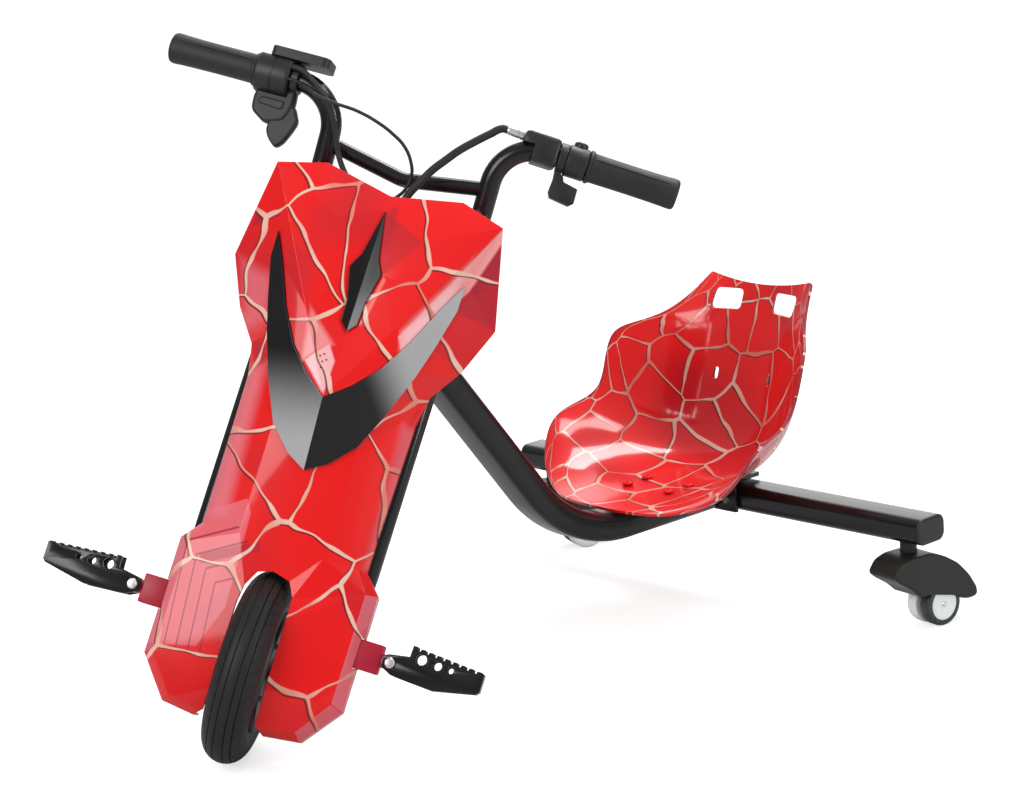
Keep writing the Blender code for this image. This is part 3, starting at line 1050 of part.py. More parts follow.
def make_cover():
    """Front cover: one faceted plastic shell, with its fin and chevron trims in gloss black."""
    bm = bmesh.new()
    points = {name: bm.verts.new((u, -w, v)) for name, (u, v, w) in COVER_POINTS.items()}
    trims = {"fin_trim": [], "chevron_trim": []}
    for names in COVER_FACES + FIN_FACES + CHEVRON_FACES:
        bm.faces.new([points[name] for name in names])
    outward(bm)
    for trim, listed in (("fin_trim", FIN_FACES), ("chevron_trim", CHEVRON_FACES)):
        trims[trim] = [[tuple(points[name].co) for name in names] for names in listed]
    cover = new_object("front_cover", mesh_from(bm, "front_cover"), steering, RED_GLOSS)
    mirror = cover.modifiers.new("mirror", "MIRROR")
    mirror.merge_threshold = 0.00001
    wall = cover.modifiers.new("wall", "SOLIDIFY")
    wall.thickness = COVER_WALL
    wall.offset = -1
    for _, side in SIDES:
        height = PEG_BRACKET_TOP - PEG_BRACKET_BOTTOM + 2 * SLIDE
        notch = block("bracket_notch", (2 * CUT_PAST, PEG_BRACKET_DEPTH + 2 * SLIDE, height),
                      (side * COVER_POINTS["wall_1"][0], -PEG_FORWARD, (PEG_BRACKET_TOP + PEG_BRACKET_BOTTOM) / 2),
                      steering, RED_GLOSS)
        combine(cover, "DIFFERENCE", notch)
    for name, faces in trims.items():
        bm = bmesh.new()
        known = {}
        for corners in faces:
            for side in (1, -1):
                loop = []
                for x, y, z in corners:
                    spot = (round(side * x, 6), y, z)
                    if spot not in known:
                        known[spot] = bm.verts.new(spot)
                    loop.append(known[spot])
                bm.faces.new(loop)
        outward(bm)
        rim = bmesh.ops.inset_region(bm, faces=bm.faces[:], thickness=TRIM_MARGIN, use_boundary=True)
        bmesh.ops.delete(bm, geom=rim["faces"], context="FACES")
        bmesh.ops.translate(bm, verts=bm.verts, vec=(0, -TRIM_LIFT, 0))
        trim = new_object(name, mesh_from(bm, name), steering, BLACK_GLOSS)
        wall = trim.modifiers.new("wall", "SOLIDIFY")
        wall.thickness = TRIM_THICKNESS
        wall.offset = 1


def make_power():
    """Inside the cover: the battery on its shelf, the controller on the crowns, and the rear cover."""
    base = SHELF_TOP + FIT
    block("battery_pack", BATTERY_SIZE, (0, -BATTERY_FORWARD, base + BATTERY_SIZE[2] / 2), steering, WRAP_BLUE,
          BATTERY_CORNER)
    front = -CROWN_DEPTH / 2 - FIT
    block("motor_controller", CONTROLLER_SIZE, (0, front - CONTROLLER_SIZE[1] / 2, LOWER_CROWN +
          CONTROLLER_SIZE[2] / 2), steering, SILVER_CASE, CONTROLLER_CORNER)
    height = REAR_COVER_TOP - base
    middle = (REAR_COVER_TOP + base) / 2
    inner_half = UPRIGHT_X - UPRIGHT_RADIUS - FIT - REAR_COVER_WALL
    start = COVER_RIM
    shell = block("rear_cover", (2 * (inner_half + REAR_COVER_WALL), REAR_COVER_DEPTH, height),
                  (0, start + REAR_COVER_DEPTH / 2, middle), steering, BLACK_PLASTIC)
    bm = bmesh.new()
    bm.from_mesh(shell.data)
    back_edges = [e for e in bm.edges if all(v.co.y > start + REAR_COVER_DEPTH / 2 for v in e.verts)]
    bmesh.ops.bevel(bm, geom=back_edges, offset=REAR_COVER_CORNER, segments=2, profile=0.5, affect="EDGES")
    bm.to_mesh(shell.data)
    bm.free()
    flange_half = UPRIGHT_X + UPRIGHT_RADIUS - COVER_FLANGE_INSET
    flange = block("cover_flange", (2 * flange_half, REAR_COVER_WALL, height),
                   (0, start + REAR_COVER_WALL / 2, middle), steering, BLACK_PLASTIC)
    hollow = block("cover_hollow", (2 * inner_half, REAR_COVER_DEPTH, height),
                   (0, start + REAR_COVER_DEPTH / 2 - REAR_COVER_WALL, middle - REAR_COVER_WALL), steering,
                   BLACK_PLASTIC)
    combine(shell, "UNION", flange)
    combine(shell, "DIFFERENCE", hollow)


def make_front_wheel():
    """Hub motor and tyre, the fixed motor axle and its nuts."""
    bore = AXLE_RADIUS + SLIDE
    half = MOTOR_WIDTH / 2
    boss = half + BOSS_HEIGHT
    side_profile = [(bore, boss), (BOSS_RADIUS, boss), (BOSS_FOOT_RADIUS, half),
                    (MOTOR_RADIUS - 0.8 * MOTOR_EDGE, half - 0.2 * MOTOR_EDGE), (MOTOR_RADIUS, half - MOTOR_EDGE)]
    profile = side_profile + [(radius, -x) for radius, x in reversed(side_profile)]
    turned("hub_motor", profile, wheel_axis, MOTOR_METAL, 28, closed=True, place=along_x())
    inner = MOTOR_RADIUS + FIT
    middle = WHEEL_RADIUS - TYRE_ROUND
    arc = [(middle + TYRE_ROUND * math.cos(a), TYRE_ROUND * math.sin(a))
           for a in (math.radians(90 - 180 * i / 8) for i in range(9))]
    bead = TYRE_ROUND * 0.82
    turned("front_tyre", [(inner, bead)] + arc + [(inner, -bead)], wheel_axis, RUBBER, 36, closed=True,
           place=along_x())
    inside = UPRIGHT_X - DROPOUT_THICKNESS / 2 - FIT
    outside = UPRIGHT_X + DROPOUT_THICKNESS / 2 + FIT
    end = outside + NUT_THICKNESS + AXLE_END
    shoulder = boss + SLIDE
    half_profile = [(0, end), (AXLE_RADIUS, end), (AXLE_RADIUS, inside), (AXLE_COLLAR_RADIUS, inside),
                    (AXLE_COLLAR_RADIUS, shoulder), (AXLE_RADIUS, shoulder)]
    profile = half_profile + [(radius, -x) for radius, x in reversed(half_profile)]
    turned("motor_axle", profile, steering, ZINC, 14, place=along_x())
    for name, side in SIDES:
        outlines = (circle(NUT_ACROSS / 2, 6), circle(AXLE_RADIUS + FIT, 16))
        plate("axle_nut_" + name, outlines, NUT_THICKNESS, steering, ZINC, FACING_SIDE,
              Matrix.Translation((side * (outside + NUT_THICKNESS / 2), 0, 0)))


def make_pegs():
    """Foot pegs: a serrated U-bent strip that folds up on a pin through its bracket on the fork."""
    pivot_x, pivot_z = PEG_PIVOT
    inner_x = UPRIGHT_X + DROPOUT_THICKNESS / 2 + FIT
    shoulder_x = pivot_x - PEG_NOSE - PEG_NECK_GAP
    tongue = PEG_DEPTH - 2 * PEG_PLATE - 2 * PEG_NECK_GAP
    for name, side in SIDES:
        width = shoulder_x - inner_x
        height = PEG_BRACKET_TOP - PEG_BRACKET_BOTTOM
        middle_z = (PEG_BRACKET_TOP + PEG_BRACKET_BOTTOM) / 2
        bracket = block("peg_bracket_" + name, (width, PEG_BRACKET_DEPTH, height),
                        (side * (inner_x + width / 2), -PEG_FORWARD, middle_z), steering, CRIMSON,
                        PEG_BRACKET_CORNER)
        eye_radius = PEG_NOSE - MOVING_GAP
        eye = rod("tongue_eye", eye_radius, (side * pivot_x, -PEG_FORWARD - tongue / 2, pivot_z),
                  (side * pivot_x, -PEG_FORWARD + tongue / 2, pivot_z), steering, CRIMSON)
        neck = block("tongue_neck", (PEG_NOSE + PEG_TONGUE_LAP, tongue - FIT, 2 * (eye_radius - MOVING_GAP)),
                     (side * (pivot_x - (PEG_NOSE + PEG_TONGUE_LAP) / 2), -PEG_FORWARD, pivot_z), steering, CRIMSON)
        pin_hole = rod("pin_hole", PEG_BOLT_RADIUS + FIT, (side * pivot_x, -PEG_FORWARD - PEG_DEPTH, pivot_z),
                       (side * pivot_x, -PEG_FORWARD + PEG_DEPTH, pivot_z), steering, CRIMSON, 12)
        combine(bracket, "UNION", eye, neck)
        combine(bracket, "DIFFERENCE", pin_hole)

        axis = empty("peg_axis_" + name, steering, Matrix.Translation((side * pivot_x, -PEG_FORWARD, pivot_z)))
        outline = [(side * x, z) for x, z in peg_outline()]
        peg = plate("peg_" + name, (outline,), PEG_DEPTH, axis, BLACK_PAINT, FACING_FRONT)
        inside = PEG_LENGTH - PEG_PLATE
        reach = inside + PEG_NOSE + CUT_PAST
        slot = block("peg_slot", (reach, PEG_DEPTH - 2 * PEG_PLATE, 4 * PEG_TAB_TOP),
                     (side * (inside - reach / 2), 0, 0), axis, BLACK_PAINT)
        drilled = PEG_HOLES + ((0, 0, PEG_BOLT_RADIUS + SLIDE),)
        holes = [rod("peg_hole", radius, (side * x, -PEG_DEPTH, z), (side * x, PEG_DEPTH, z), axis, BLACK_PAINT, 12)
                 for x, z, radius in drilled]
        combine(peg, "DIFFERENCE", slot, *holes)

        half = PEG_DEPTH / 2 + PEG_NECK_GAP
        tail = half + PEG_BOLT_HEAD_HEIGHT
        profile = bolt_head(PEG_BOLT_HEAD_RADIUS, PEG_BOLT_HEAD_HEIGHT, half) + [
            (PEG_BOLT_RADIUS, half), (PEG_BOLT_RADIUS, -half), (PEG_BOLT_HEAD_RADIUS, -half),
            (PEG_BOLT_HEAD_RADIUS, -tail), (0, -tail)]
        pin_place = Matrix.Translation((side * pivot_x, -PEG_FORWARD, pivot_z)) @ Matrix.Rotation(math.pi / 2, 4, "X")
        turned("peg_pin_" + name, profile, steering, ZINC, 12, place=pin_place)


def peg_outline():
    """Side view of a peg from its pin: round nose, raised inner tab, saw teeth and a blunt outer end."""
    nose = [(PEG_NOSE * math.cos(a), PEG_NOSE * math.sin(a)) for a in (math.radians(90 + 22.5 * i) for i in range(7))]
    tab_from, teeth_from = PEG_TAB
    teeth_to = PEG_LENGTH - PEG_END_CORNER
    pitch = (teeth_to - teeth_from) / PEG_TEETH
    points = [(PEG_LENGTH - PEG_END_CORNER, PEG_END_FOOT), (PEG_LENGTH, PEG_END_FOOT + PEG_END_CORNER),
              (PEG_LENGTH, PEG_END_TOP)]
    for i in range(PEG_TEETH):
        right = teeth_to - i * pitch
        top = PEG_TOP_OUTER + (PEG_TOP_INNER - PEG_TOP_OUTER) * i / PEG_TEETH
        points += [(right, top), (right - pitch * 0.55, top), (right - pitch * 0.65, top - PEG_TOOTH),
                   (right - pitch * 0.95, top - PEG_TOOTH)]
    points += [(teeth_from, PEG_TAB_TOP), (tab_from, PEG_TAB_TOP), (tab_from - PEG_NECK_GAP, PEG_TAB_TOP / 2)]
    return points + nose + list(PEG_UNDERSIDE)


def stand_on_origin():
    """Moves the trike so that it stands on Z = 0 with the middle of its box over the origin."""
    bpy.context.view_layer.update()
    graph = bpy.context.evaluated_depsgraph_get()
    corners = [piece.matrix_world @ vertex.co for piece in PARTS.objects if piece.type == "MESH"
               for vertex in piece.evaluated_get(graph).data.vertices]
    low = [min(corner[i] for corner in corners) for i in range(3)]
    high = [max(corner[i] for corner in corners) for i in range(3)]
    trike.location = (-(low[0] + high[0]) / 2, -(low[1] + high[1]) / 2, -low[2])
    bpy.context.view_layer.update()


make_fork()
make_handlebar()
make_throttle()
make_brake()
make_cables()
make_cover()
make_power()
make_front_wheel()
make_pegs()
make_spine()
make_head_bearings()
make_crossbar()
make_seat()
make_seat_mounting()
make_castors()
stand_on_origin()
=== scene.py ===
"""The looks of a child's electric drift trike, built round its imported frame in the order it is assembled."""
import json
import math

import bpy
from mathutils import Matrix, Vector


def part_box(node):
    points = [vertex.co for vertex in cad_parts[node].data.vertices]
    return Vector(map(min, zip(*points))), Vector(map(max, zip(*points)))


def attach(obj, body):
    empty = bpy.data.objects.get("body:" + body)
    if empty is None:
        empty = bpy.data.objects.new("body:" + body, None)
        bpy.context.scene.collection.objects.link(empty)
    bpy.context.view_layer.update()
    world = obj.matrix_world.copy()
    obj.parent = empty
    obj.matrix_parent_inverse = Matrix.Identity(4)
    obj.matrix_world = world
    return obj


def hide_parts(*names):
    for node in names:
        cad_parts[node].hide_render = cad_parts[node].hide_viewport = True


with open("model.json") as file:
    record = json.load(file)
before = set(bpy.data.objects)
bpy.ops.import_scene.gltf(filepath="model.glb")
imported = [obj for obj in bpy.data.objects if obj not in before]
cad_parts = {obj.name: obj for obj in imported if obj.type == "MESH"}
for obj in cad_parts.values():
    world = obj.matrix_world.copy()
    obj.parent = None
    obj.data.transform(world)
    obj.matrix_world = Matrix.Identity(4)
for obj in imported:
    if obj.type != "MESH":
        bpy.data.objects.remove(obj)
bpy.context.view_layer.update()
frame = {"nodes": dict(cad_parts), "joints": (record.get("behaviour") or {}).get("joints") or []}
nodes = frame["nodes"]
scene = bpy.context.scene
joints = {joint["name"]: joint for joint in frame["joints"]}

# The steering line and the wheel's axle, which everything on the fork is measured from: X to the
# rider's left along the axle, Y rearwards and Z up the steering line, from the wheel's centre.
wheel_centre = Vector(joints["steering"]["pos_m"])
steering_line = Vector(joints["steering"]["axis"]).normalized()
axle_line = Vector(joints["front_wheel_spin"]["axis"]).normalized()
fork_frame = Matrix((axle_line, steering_line.cross(axle_line), steering_line)).transposed().to_4x4()
fork_frame.translation = wheel_centre

# Profiles and outlines are written in millimetres, all else in metres.
mm = 0.001


# Main tube: a bent 50 x 32 mm steel box tube with a head tube at its upper end and a plate at its lower
# end, welded, then powder coated in black with a slight orange peel.
class Reading:
    """A number or colour inside a finish; arithmetic on numbers adds Math nodes."""

    def __init__(self, finish, socket):
        self.finish = finish
        self.socket = socket

    def math(self, operation, *others, swapped=False):
        values = [self, *others]
        if swapped:
            values.reverse()
        return self.finish.node("Math", {"operation": operation}, dict(enumerate(values)))

    def __add__(self, other):
        return self.math("ADD", other)

    def __sub__(self, other):
        return self.math("SUBTRACT", other)

    def __mul__(self, other):
        return self.math("MULTIPLY", other)

    def __lt__(self, other):
        return self.math("LESS_THAN", other)

    def __gt__(self, other):
        return self.math("GREATER_THAN", other)

    def __rsub__(self, other):
        return self.math("SUBTRACT", other, swapped=True)

    __radd__ = __add__
    __rmul__ = __mul__


class Finish:
    """A procedural material or world: its node tree, and the one method that adds a node to it."""

    def __init__(self, name, kind=bpy.data.materials, shader="Principled BSDF"):
        self.made = kind.new(name)
        self.made.use_nodes = True
        self.tree = self.made.node_tree
        self.shader = self.tree.nodes[shader]

    def feed(self, socket, value):
        if isinstance(value, Reading):
            self.tree.links.new(value.socket, socket)
        else:
            socket.default_value = value

    def node(self, kind, settings=None, inputs=None, out=0):
        made = self.tree.nodes.new("ShaderNode" + kind)
        for key, value in (settings or {}).items():
            setattr(made, key, value)
        for key, value in (inputs or {}).items():
            self.feed(made.inputs[key], value)
        return Reading(self, made.outputs[out])

    def here(self, output="Object"):
        return self.node("TexCoord", out=output)

    def vector(self, operation, first, second, out=0):
        return self.node("VectorMath", {"operation": operation}, {0: first, 1: second}, out)

    def noise(self, vector, scale, detail=2.0, roughness=0.5):
        return self.node("TexNoise", {}, {"Vector": vector, "Scale": scale, "Detail": detail,
                                          "Roughness": roughness})

    def noise_2d(self, vector, scale, out=0):
        return self.node("TexNoise", {"noise_dimensions": "2D"},
                         {"Vector": vector, "Scale": scale, "Detail": 1.0}, out)

    def ramp(self, value, low, high, smooth=True):
        """0 below low and 1 above high."""
        kind = "SMOOTHSTEP" if smooth else "LINEAR"
        return self.node("MapRange", {"interpolation_type": kind},
                         {"Value": value, "From Min": low, "From Max": high})

    def mix(self, share, first, second):
        """A colour between two others."""
        first = first if isinstance(first, Reading) else (*first, 1.0)
        second = second if isinstance(second, Reading) else (*second, 1.0)
        return self.node("Mix", {"data_type": "RGBA"}, {0: share, 6: first, 7: second}, out=2)

    def bump(self, height, distance, strength=1.0, over=None):
        inputs = {"Height": height, "Distance": distance, "Strength": strength}
        if over is not None:
            inputs["Normal"] = over
        return self.node("Bump", {}, inputs)

    def done(self, **inputs):
        """Feeds the shader. A socket's name is written with _ for its spaces."""
        for key, value in inputs.items():
            name = key.replace("_", " ").title().replace("Ior", "IOR")
            if name.endswith("Color") and not isinstance(value, Reading):
                value = (*value, 1.0)
            self.feed(self.shader.inputs[name], value)
        return self.made


def only(piece):
    """Selects one object and nothing else."""
    if bpy.context.object and bpy.context.object.mode != "OBJECT":
        bpy.ops.object.mode_set(mode="OBJECT")
    bpy.ops.object.select_all(action="DESELECT")
    piece.select_set(True)
    bpy.context.view_layer.objects.active = piece


def wear(piece, look, body, node):
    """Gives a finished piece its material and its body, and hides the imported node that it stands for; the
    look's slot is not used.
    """
    finish, slot = look
    piece.data.materials.clear()
    piece.data.materials.append(finish)
    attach(piece, body)
    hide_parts(node)


def smooth(angle):
    bpy.ops.object.shade_smooth_by_angle(angle=math.radians(angle))


def start_edit():
    """Opens the new piece, as it was placed, with all of it selected."""
    bpy.ops.object.transform_apply()
    bpy.ops.object.mode_set(mode="EDIT")
    bpy.ops.mesh.select_mode(type="VERT")
    bpy.ops.mesh.select_all(action="SELECT")


def extrude(x, y, z):
    bpy.ops.mesh.extrude_region_move(TRANSFORM_OT_translate={"value": (x, y, z)})


def run_along(corners, bend, steps):
    """Carries the selected outline along straight runs and round bends, as a bar is bent."""
    at = corners[0]
    for before, corner, after in zip(corners, corners[1:], corners[2:]):
        back = (before - corner).normalized()
        ahead = (after - corner).normalized()
        turn = math.pi - back.angle(ahead)
        setback = bend * math.tan(turn / 2)
        extrude(*(corner + back * setback - at))
        centre = corner + (back + ahead).normalized() * bend / math.cos(turn / 2)
        bpy.ops.mesh.spin(steps=steps, angle=turn, center=centre, axis=back.cross(ahead).normalized())
        at = corner + ahead * setback
    extrude(*(corners[-1] - at))


def end_edit(angle=35):
    """Closes the open ends, turns every face outwards and shades the piece smooth."""
    bpy.ops.mesh.select_all(action="SELECT")
    bpy.ops.mesh.remove_doubles(threshold=0.00001)
    bpy.ops.mesh.fill_holes(sides=0)
    bpy.ops.mesh.select_all(action="SELECT")
    bpy.ops.mesh.normals_make_consistent(inside=False)
    bpy.ops.object.mode_set(mode="OBJECT")
    smooth(angle)


def turn(name, profile, place, vertices=48, angle=35):
    """A round piece: a ring raised along Z through (radius, height) pairs in mm, closed, put in place."""
    only(nodes["main_frame"])
    (radius, height), *rest = [(across * mm, along * mm) for across, along in profile]
    bpy.ops.mesh.primitive_circle_add(vertices=vertices, radius=radius, fill_type="NOTHING",
                                      location=(0, 0, height))
    piece = bpy.context.object
    piece.name = name
    piece.data.name = name
    start_edit()
    for next_radius, next_height in rest:
        extrude(0, 0, next_height - height)
        share = next_radius / radius
        bpy.ops.transform.resize(value=(share, share, 1), center_override=(0, 0, next_height))
        radius, height = next_radius, next_height
    end_edit(angle)
    piece.data.transform(place)
    return piece


def join(name, *pieces):
    only(pieces[0])
    for piece in pieces:
        piece.select_set(True)
    bpy.ops.object.join()
    joined = bpy.context.object
    joined.name = name
    joined.data.name = name
    return joined


def mottled(name, drift, grain, dark, pale, rough, bump, **rest):
    """A finish whose colour and roughness drift by one noise, and whose surface has the grain of another."""
    finish = Finish(name)
    here = finish.here()
    share = finish.noise(here, *drift)
    return finish.done(base_color=finish.mix(share, dark, pale), roughness=rough[0] + rough[1] * share,
                       normal=finish.bump(finish.noise(here, *grain), *bump), **rest)


black_coat = (mottled("black_powder_coat", (9.0, 4.0), (700.0,), (0.0045, 0.0045, 0.005),
                      (0.01, 0.01, 0.011), (0.15, 0.12), (0.0003, 0.18), specular_ior_level=0.36),
              "black_paint")
spine_low, spine_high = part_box("main_frame")
spine_width = 0.05
spine_thickness = 0.032
spine_level = spine_low.z + spine_thickness / 2
end_plate_thickness = 0.005
neck = wheel_centre + steering_line * 0.41
neck_slope = math.radians(53.2)
foot = Vector((0, neck.y + (neck.z - spine_level) / math.tan(neck_slope), spine_level))
tail = Vector((0, spine_high.y - end_plate_thickness / 2, spine_level))

only(nodes["main_frame"])
bpy.ops.mesh.primitive_plane_add(size=1, rotation=(math.pi / 2, 0, 0), location=tail)
spine = bpy.context.object
spine.scale = (spine_width, spine_thickness, 1)
start_edit()
bpy.ops.mesh.bevel(offset=0.011, segments=6, affect="VERTICES")
bpy.ops.mesh.delete(type="ONLY_FACE")
bpy.ops.mesh.select_all(action="SELECT")
run_along([tail, foot, neck], bend=0.17, steps=28)
end_edit()

tube_foot, tube_top, tube_radius, tube_bore = 344, 462, 21, 16.9937
head_tube = turn("head_tube", [(tube_radius, tube_foot), (tube_radius, tube_top), (tube_bore, tube_top),
                               (tube_bore, tube_foot), (tube_radius, tube_foot)], fork_frame, 56)

end_plate_width, end_plate_height, end_plate_level = 0.104, 0.03, 0.121
bpy.ops.mesh.primitive_cube_add(size=1, location=(0, tail.y, end_plate_level),
                                scale=(end_plate_width, end_plate_thickness, end_plate_height))
end_plate = bpy.context.object
start_edit()
bpy.ops.mesh.bevel(offset=0.001, segments=2)
end_edit()
main_frame = join("main_tube", spine, head_tube, end_plate)
wear(main_frame, black_coat, "frame", "main_frame")


# Steering bearing: two pressed cups at the ends of the head tube, the bolt that the fork turns on, with a
# domed head and a hexagon socket, and its nut. All are bright zinc plated, with plating's faint clouds.
def modify(piece, kind, **settings):
    """Adds a modifier and applies it."""
    only(piece)
    modifier = piece.modifiers.new(kind.lower(), kind)
    for key, value in settings.items():
        setattr(modifier, key, value)
    bpy.ops.object.modifier_apply(modifier=modifier.name)


def cut_away(piece, *cutters):
    """Takes cutters out of a piece and removes them."""
    for cutter in cutters:
        modify(piece, "BOOLEAN", operation="DIFFERENCE", object=cutter)
        bpy.data.objects.remove(cutter)
    smooth(35)


def socket_bolt(name, head, height, socket, shank, length, place):
    """A bolt whose domed head stands on Z = 0, with a hexagon socket in it. Its sizes are in mm."""
    bolt = turn(name, [(shank, -length), (shank, 0), (head * 0.96, 0), (head, height * 0.08),
                       (head, height * 0.42), (head * 0.93, height * 0.7), (head * 0.78, height * 0.9),
                       (head * 0.6, height), (socket * 1.12, height)], place, 40)
    hexagon = turn("socket", [(socket, height * 0.3), (socket, height * 2)], place, 6)
    cut_away(bolt, hexagon)
    return bolt


zinc = (mottled("bright_zinc", (160.0, 3.0), (2400.0, 1.0), (0.62, 0.63, 0.65), (0.76, 0.77, 0.78),
                (0.28, 0.14), (0.00003, 0.2), metallic=1.0), "zinc_steel")
for name, base in (("lower", 335.3), ("upper", 462.3)):
    cup = turn("bearing_cup_" + name, [(9.3, base), (21.8, base), (22.5, base + 0.7), (22.5, base + 3),
                                       (21.9, base + 3.6), (21.9, base + 4.8), (22.5, base + 5.4),
                                       (22.5, base + 7.7), (21.8, base + 8.4), (9.3, base + 8.4),
                                       (9.3, base)], fork_frame, 56)
    wear(cup, zinc, "frame", "head_bearing_" + name)
crown_top = 0.4773
steering_bolt = socket_bolt("steering_bolt_detailed", 15, 8, 5.5, 9, 161.5,
                            fork_frame @ Matrix.Translation((0, 0, crown_top)))
wear(steering_bolt, zinc, "fork", "steering_bolt")


def dressed(name, node, width, segments, sharp, angle=40, moved=None):
    """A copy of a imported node's mesh with its flat faces made whole and its edges rounded."""
    piece = bpy.data.objects.new(name, nodes[node].data.copy())
    scene.collection.objects.link(piece)
    if moved:
        for vertex in piece.data.vertices:
            vertex.co = moved(vertex.co)
    only(piece)
    bpy.ops.object.mode_set(mode="EDIT")
    bpy.ops.mesh.customdata_custom_splitnormals_clear()
    bpy.ops.mesh.select_all(action="SELECT")
    bpy.ops.mesh.remove_doubles(threshold=0.00001)
    bpy.ops.mesh.dissolve_limited(angle_limit=math.radians(0.4))
    bpy.ops.mesh.select_mode(type="EDGE")
    bpy.ops.mesh.select_all(action="DESELECT")
    bpy.ops.mesh.edges_select_sharp(sharpness=math.radians(sharp))
    bpy.ops.mesh.bevel(offset=width, segments=segments, affect="EDGES", clamp_overlap=True)
    bpy.ops.object.mode_set(mode="OBJECT")
    smooth(angle)
    return piece


wear(dressed("steering_nut_detailed", "steering_nut", 0.0005, 2, 30), zinc, "fork", "steering_nut")


# Rear crossbar: a 45 x 30 mm rounded steel tube in the same coat, closed by two moulded end caps and held
# to the main tube's end plate by two zinc plated bolts.
black_nylon = (mottled("black_nylon", (25.0, 3.0), (1500.0, 3.0, 0.6), (0.008, 0.008, 0.009),
                       (0.016, 0.016, 0.017), (0.38, 0.12), (0.0002, 0.35), specular_ior_level=0.42),
               "black_plastic")
bar_low, bar_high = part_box("rear_crossbar")
bar_middle = (bar_low + bar_high) / 2
crossbar_depth, crossbar_height, crossbar_wall = 0.045, 0.03, 0.002


def rounded_tube(name, x_from, x_to):
    """A length of the crossbar's outline along X, open at its ends."""
    only(nodes["main_frame"])
    bpy.ops.mesh.primitive_plane_add(size=1, rotation=(0, math.pi / 2, 0),
                                     location=(x_from, bar_middle.y, bar_middle.z))
    tube = bpy.context.object
    tube.name = name
    tube.scale = (crossbar_height, crossbar_depth, 1)
    start_edit()
    bpy.ops.mesh.bevel(offset=0.01, segments=9, affect="VERTICES")
    extrude(x_to - x_from, 0, 0)
    return tube


crossbar = rounded_tube("crossbar_tube", bar_low.x, bar_high.x)
bpy.ops.mesh.select_mode(type="FACE")
bpy.ops.mesh.inset(thickness=crossbar_wall)
extrude(-0.05, 0, 0)
end_edit()
wear(crossbar, black_coat, "frame", "rear_crossbar")
for name, side in (("left", 1), ("right", -1)):
    end_face = bar_high.x if side > 0 else bar_low.x
    cap = rounded_tube("end_cap_" + name, end_face + side * 0.0003, end_face + side * 0.0018)
    bpy.ops.mesh.select_mode(type="FACE")
    for reach, share in ((0.0008, 0.975), (0.0007, 0.94), (0.0003, 0.88)):
        extrude(side * reach, 0, 0)
        bpy.ops.transform.resize(value=(1, share, share),
                                 center_override=(end_face, bar_middle.y, bar_middle.z))
    bpy.ops.mesh.inset(thickness=0.0015)
    end_edit(40)
    wear(cap, black_nylon, "frame", "crossbar_cap_" + name)
    bolt = socket_bolt("crossbar_bolt_%s_detailed" % name, 6.8, 4, 2.6, 4, 54,
                       Matrix.Translation((side * 0.038, bar_high.y + 0.0003, bar_middle.z)) @
                       Matrix.Rotation(-math.pi / 2, 4, "X"))
    wear(bolt, zinc, "frame", "crossbar_bolt_" + name)


# Castors: on each, a grey swivel stem, a dark grey moulded hood and two milky polyurethane wheels on a
# steel axle. The wheel that faces outwards has a dark tread ring round its pale disc.
def milky_wheel():
    milky = Finish("milky_polyurethane")
    here = milky.here()
    cloud = milky.noise(here, 60.0, 3.0)
    ring = milky.ramp(milky.node("Attribute", {"attribute_name": "ring"}, out="Fac"), 0.4, 0.6)
    pale = milky.mix(cloud, (0.74, 0.77, 0.77), (0.88, 0.89, 0.88))
    return milky.done(base_color=milky.mix(ring, pale, (0.03, 0.034, 0.035)), roughness=0.22 + 0.14 * cloud,
                      subsurface_weight=0.12, normal=milky.bump(milky.noise(here, 900.0), 0.0001, 0.2))


def cut_plate(name, outline, thickness, place, edge, corner=0.0, segments=3):
    """A plate drawn as (X, Z) corners in mm, its thickness along Y, its corners, then its edges rounded."""
    only(nodes["main_frame"])
    bpy.ops.mesh.primitive_circle_add(vertices=len(outline), radius=1, fill_type="NGON")
    piece = bpy.context.object
    piece.name = name
    piece.data.name = name
    for vertex, (x, z) in zip(piece.data.vertices, outline):
        vertex.co = (x * mm, -thickness / 2, z * mm)
    start_edit()
    if corner:
        bpy.ops.mesh.bevel(offset=corner, segments=5, affect="VERTICES", clamp_overlap=True)
        bpy.ops.mesh.select_all(action="SELECT")
    extrude(0, thickness, 0)
    end_edit()
    if edge:
        modify(piece, "BEVEL", width=edge, segments=segments, limit_method="ANGLE",
               angle_limit=math.radians(50))
    smooth(40)
    piece.data.transform(place)
    return piece


grey = (mottled("grey_nylon", (20.0, 3.0), (1300.0, 3.0, 0.6), (0.011, 0.012, 0.01), (0.019, 0.02, 0.018),
                (0.36, 0.14), (0.0002, 0.3), specular_ior_level=0.3), "grey_plastic")
milky = (milky_wheel(), "milky_wheel")
castor_radius = 0.025
wheel_trail = 0.0345
tread_edge = 0.0182
hood_side = ((-77, 73), (-67, 85.5), (-52, 90), (-20, 90), (1, 81.5), (20, 69.5), (36, 53), (47.5, 35),
             (47.5, 25.5), (36, 24), (24, 26.5), (13, 33), (-10, 38.5), (-24, 42.5), (-37, 41), (-50, 53),
             (-70, 66))
pocket_side = ((-27.5, 10), (-27.5, 49), (-13, 68), (3, 73.5), (18.5, 63), (33.5, 46.5), (42.5, 32),
               (42.5, 10))
lug_side = ((-10, 45), (-8, 22.5), (-5, 18), (5, 18), (8, 22.5), (10, 45))
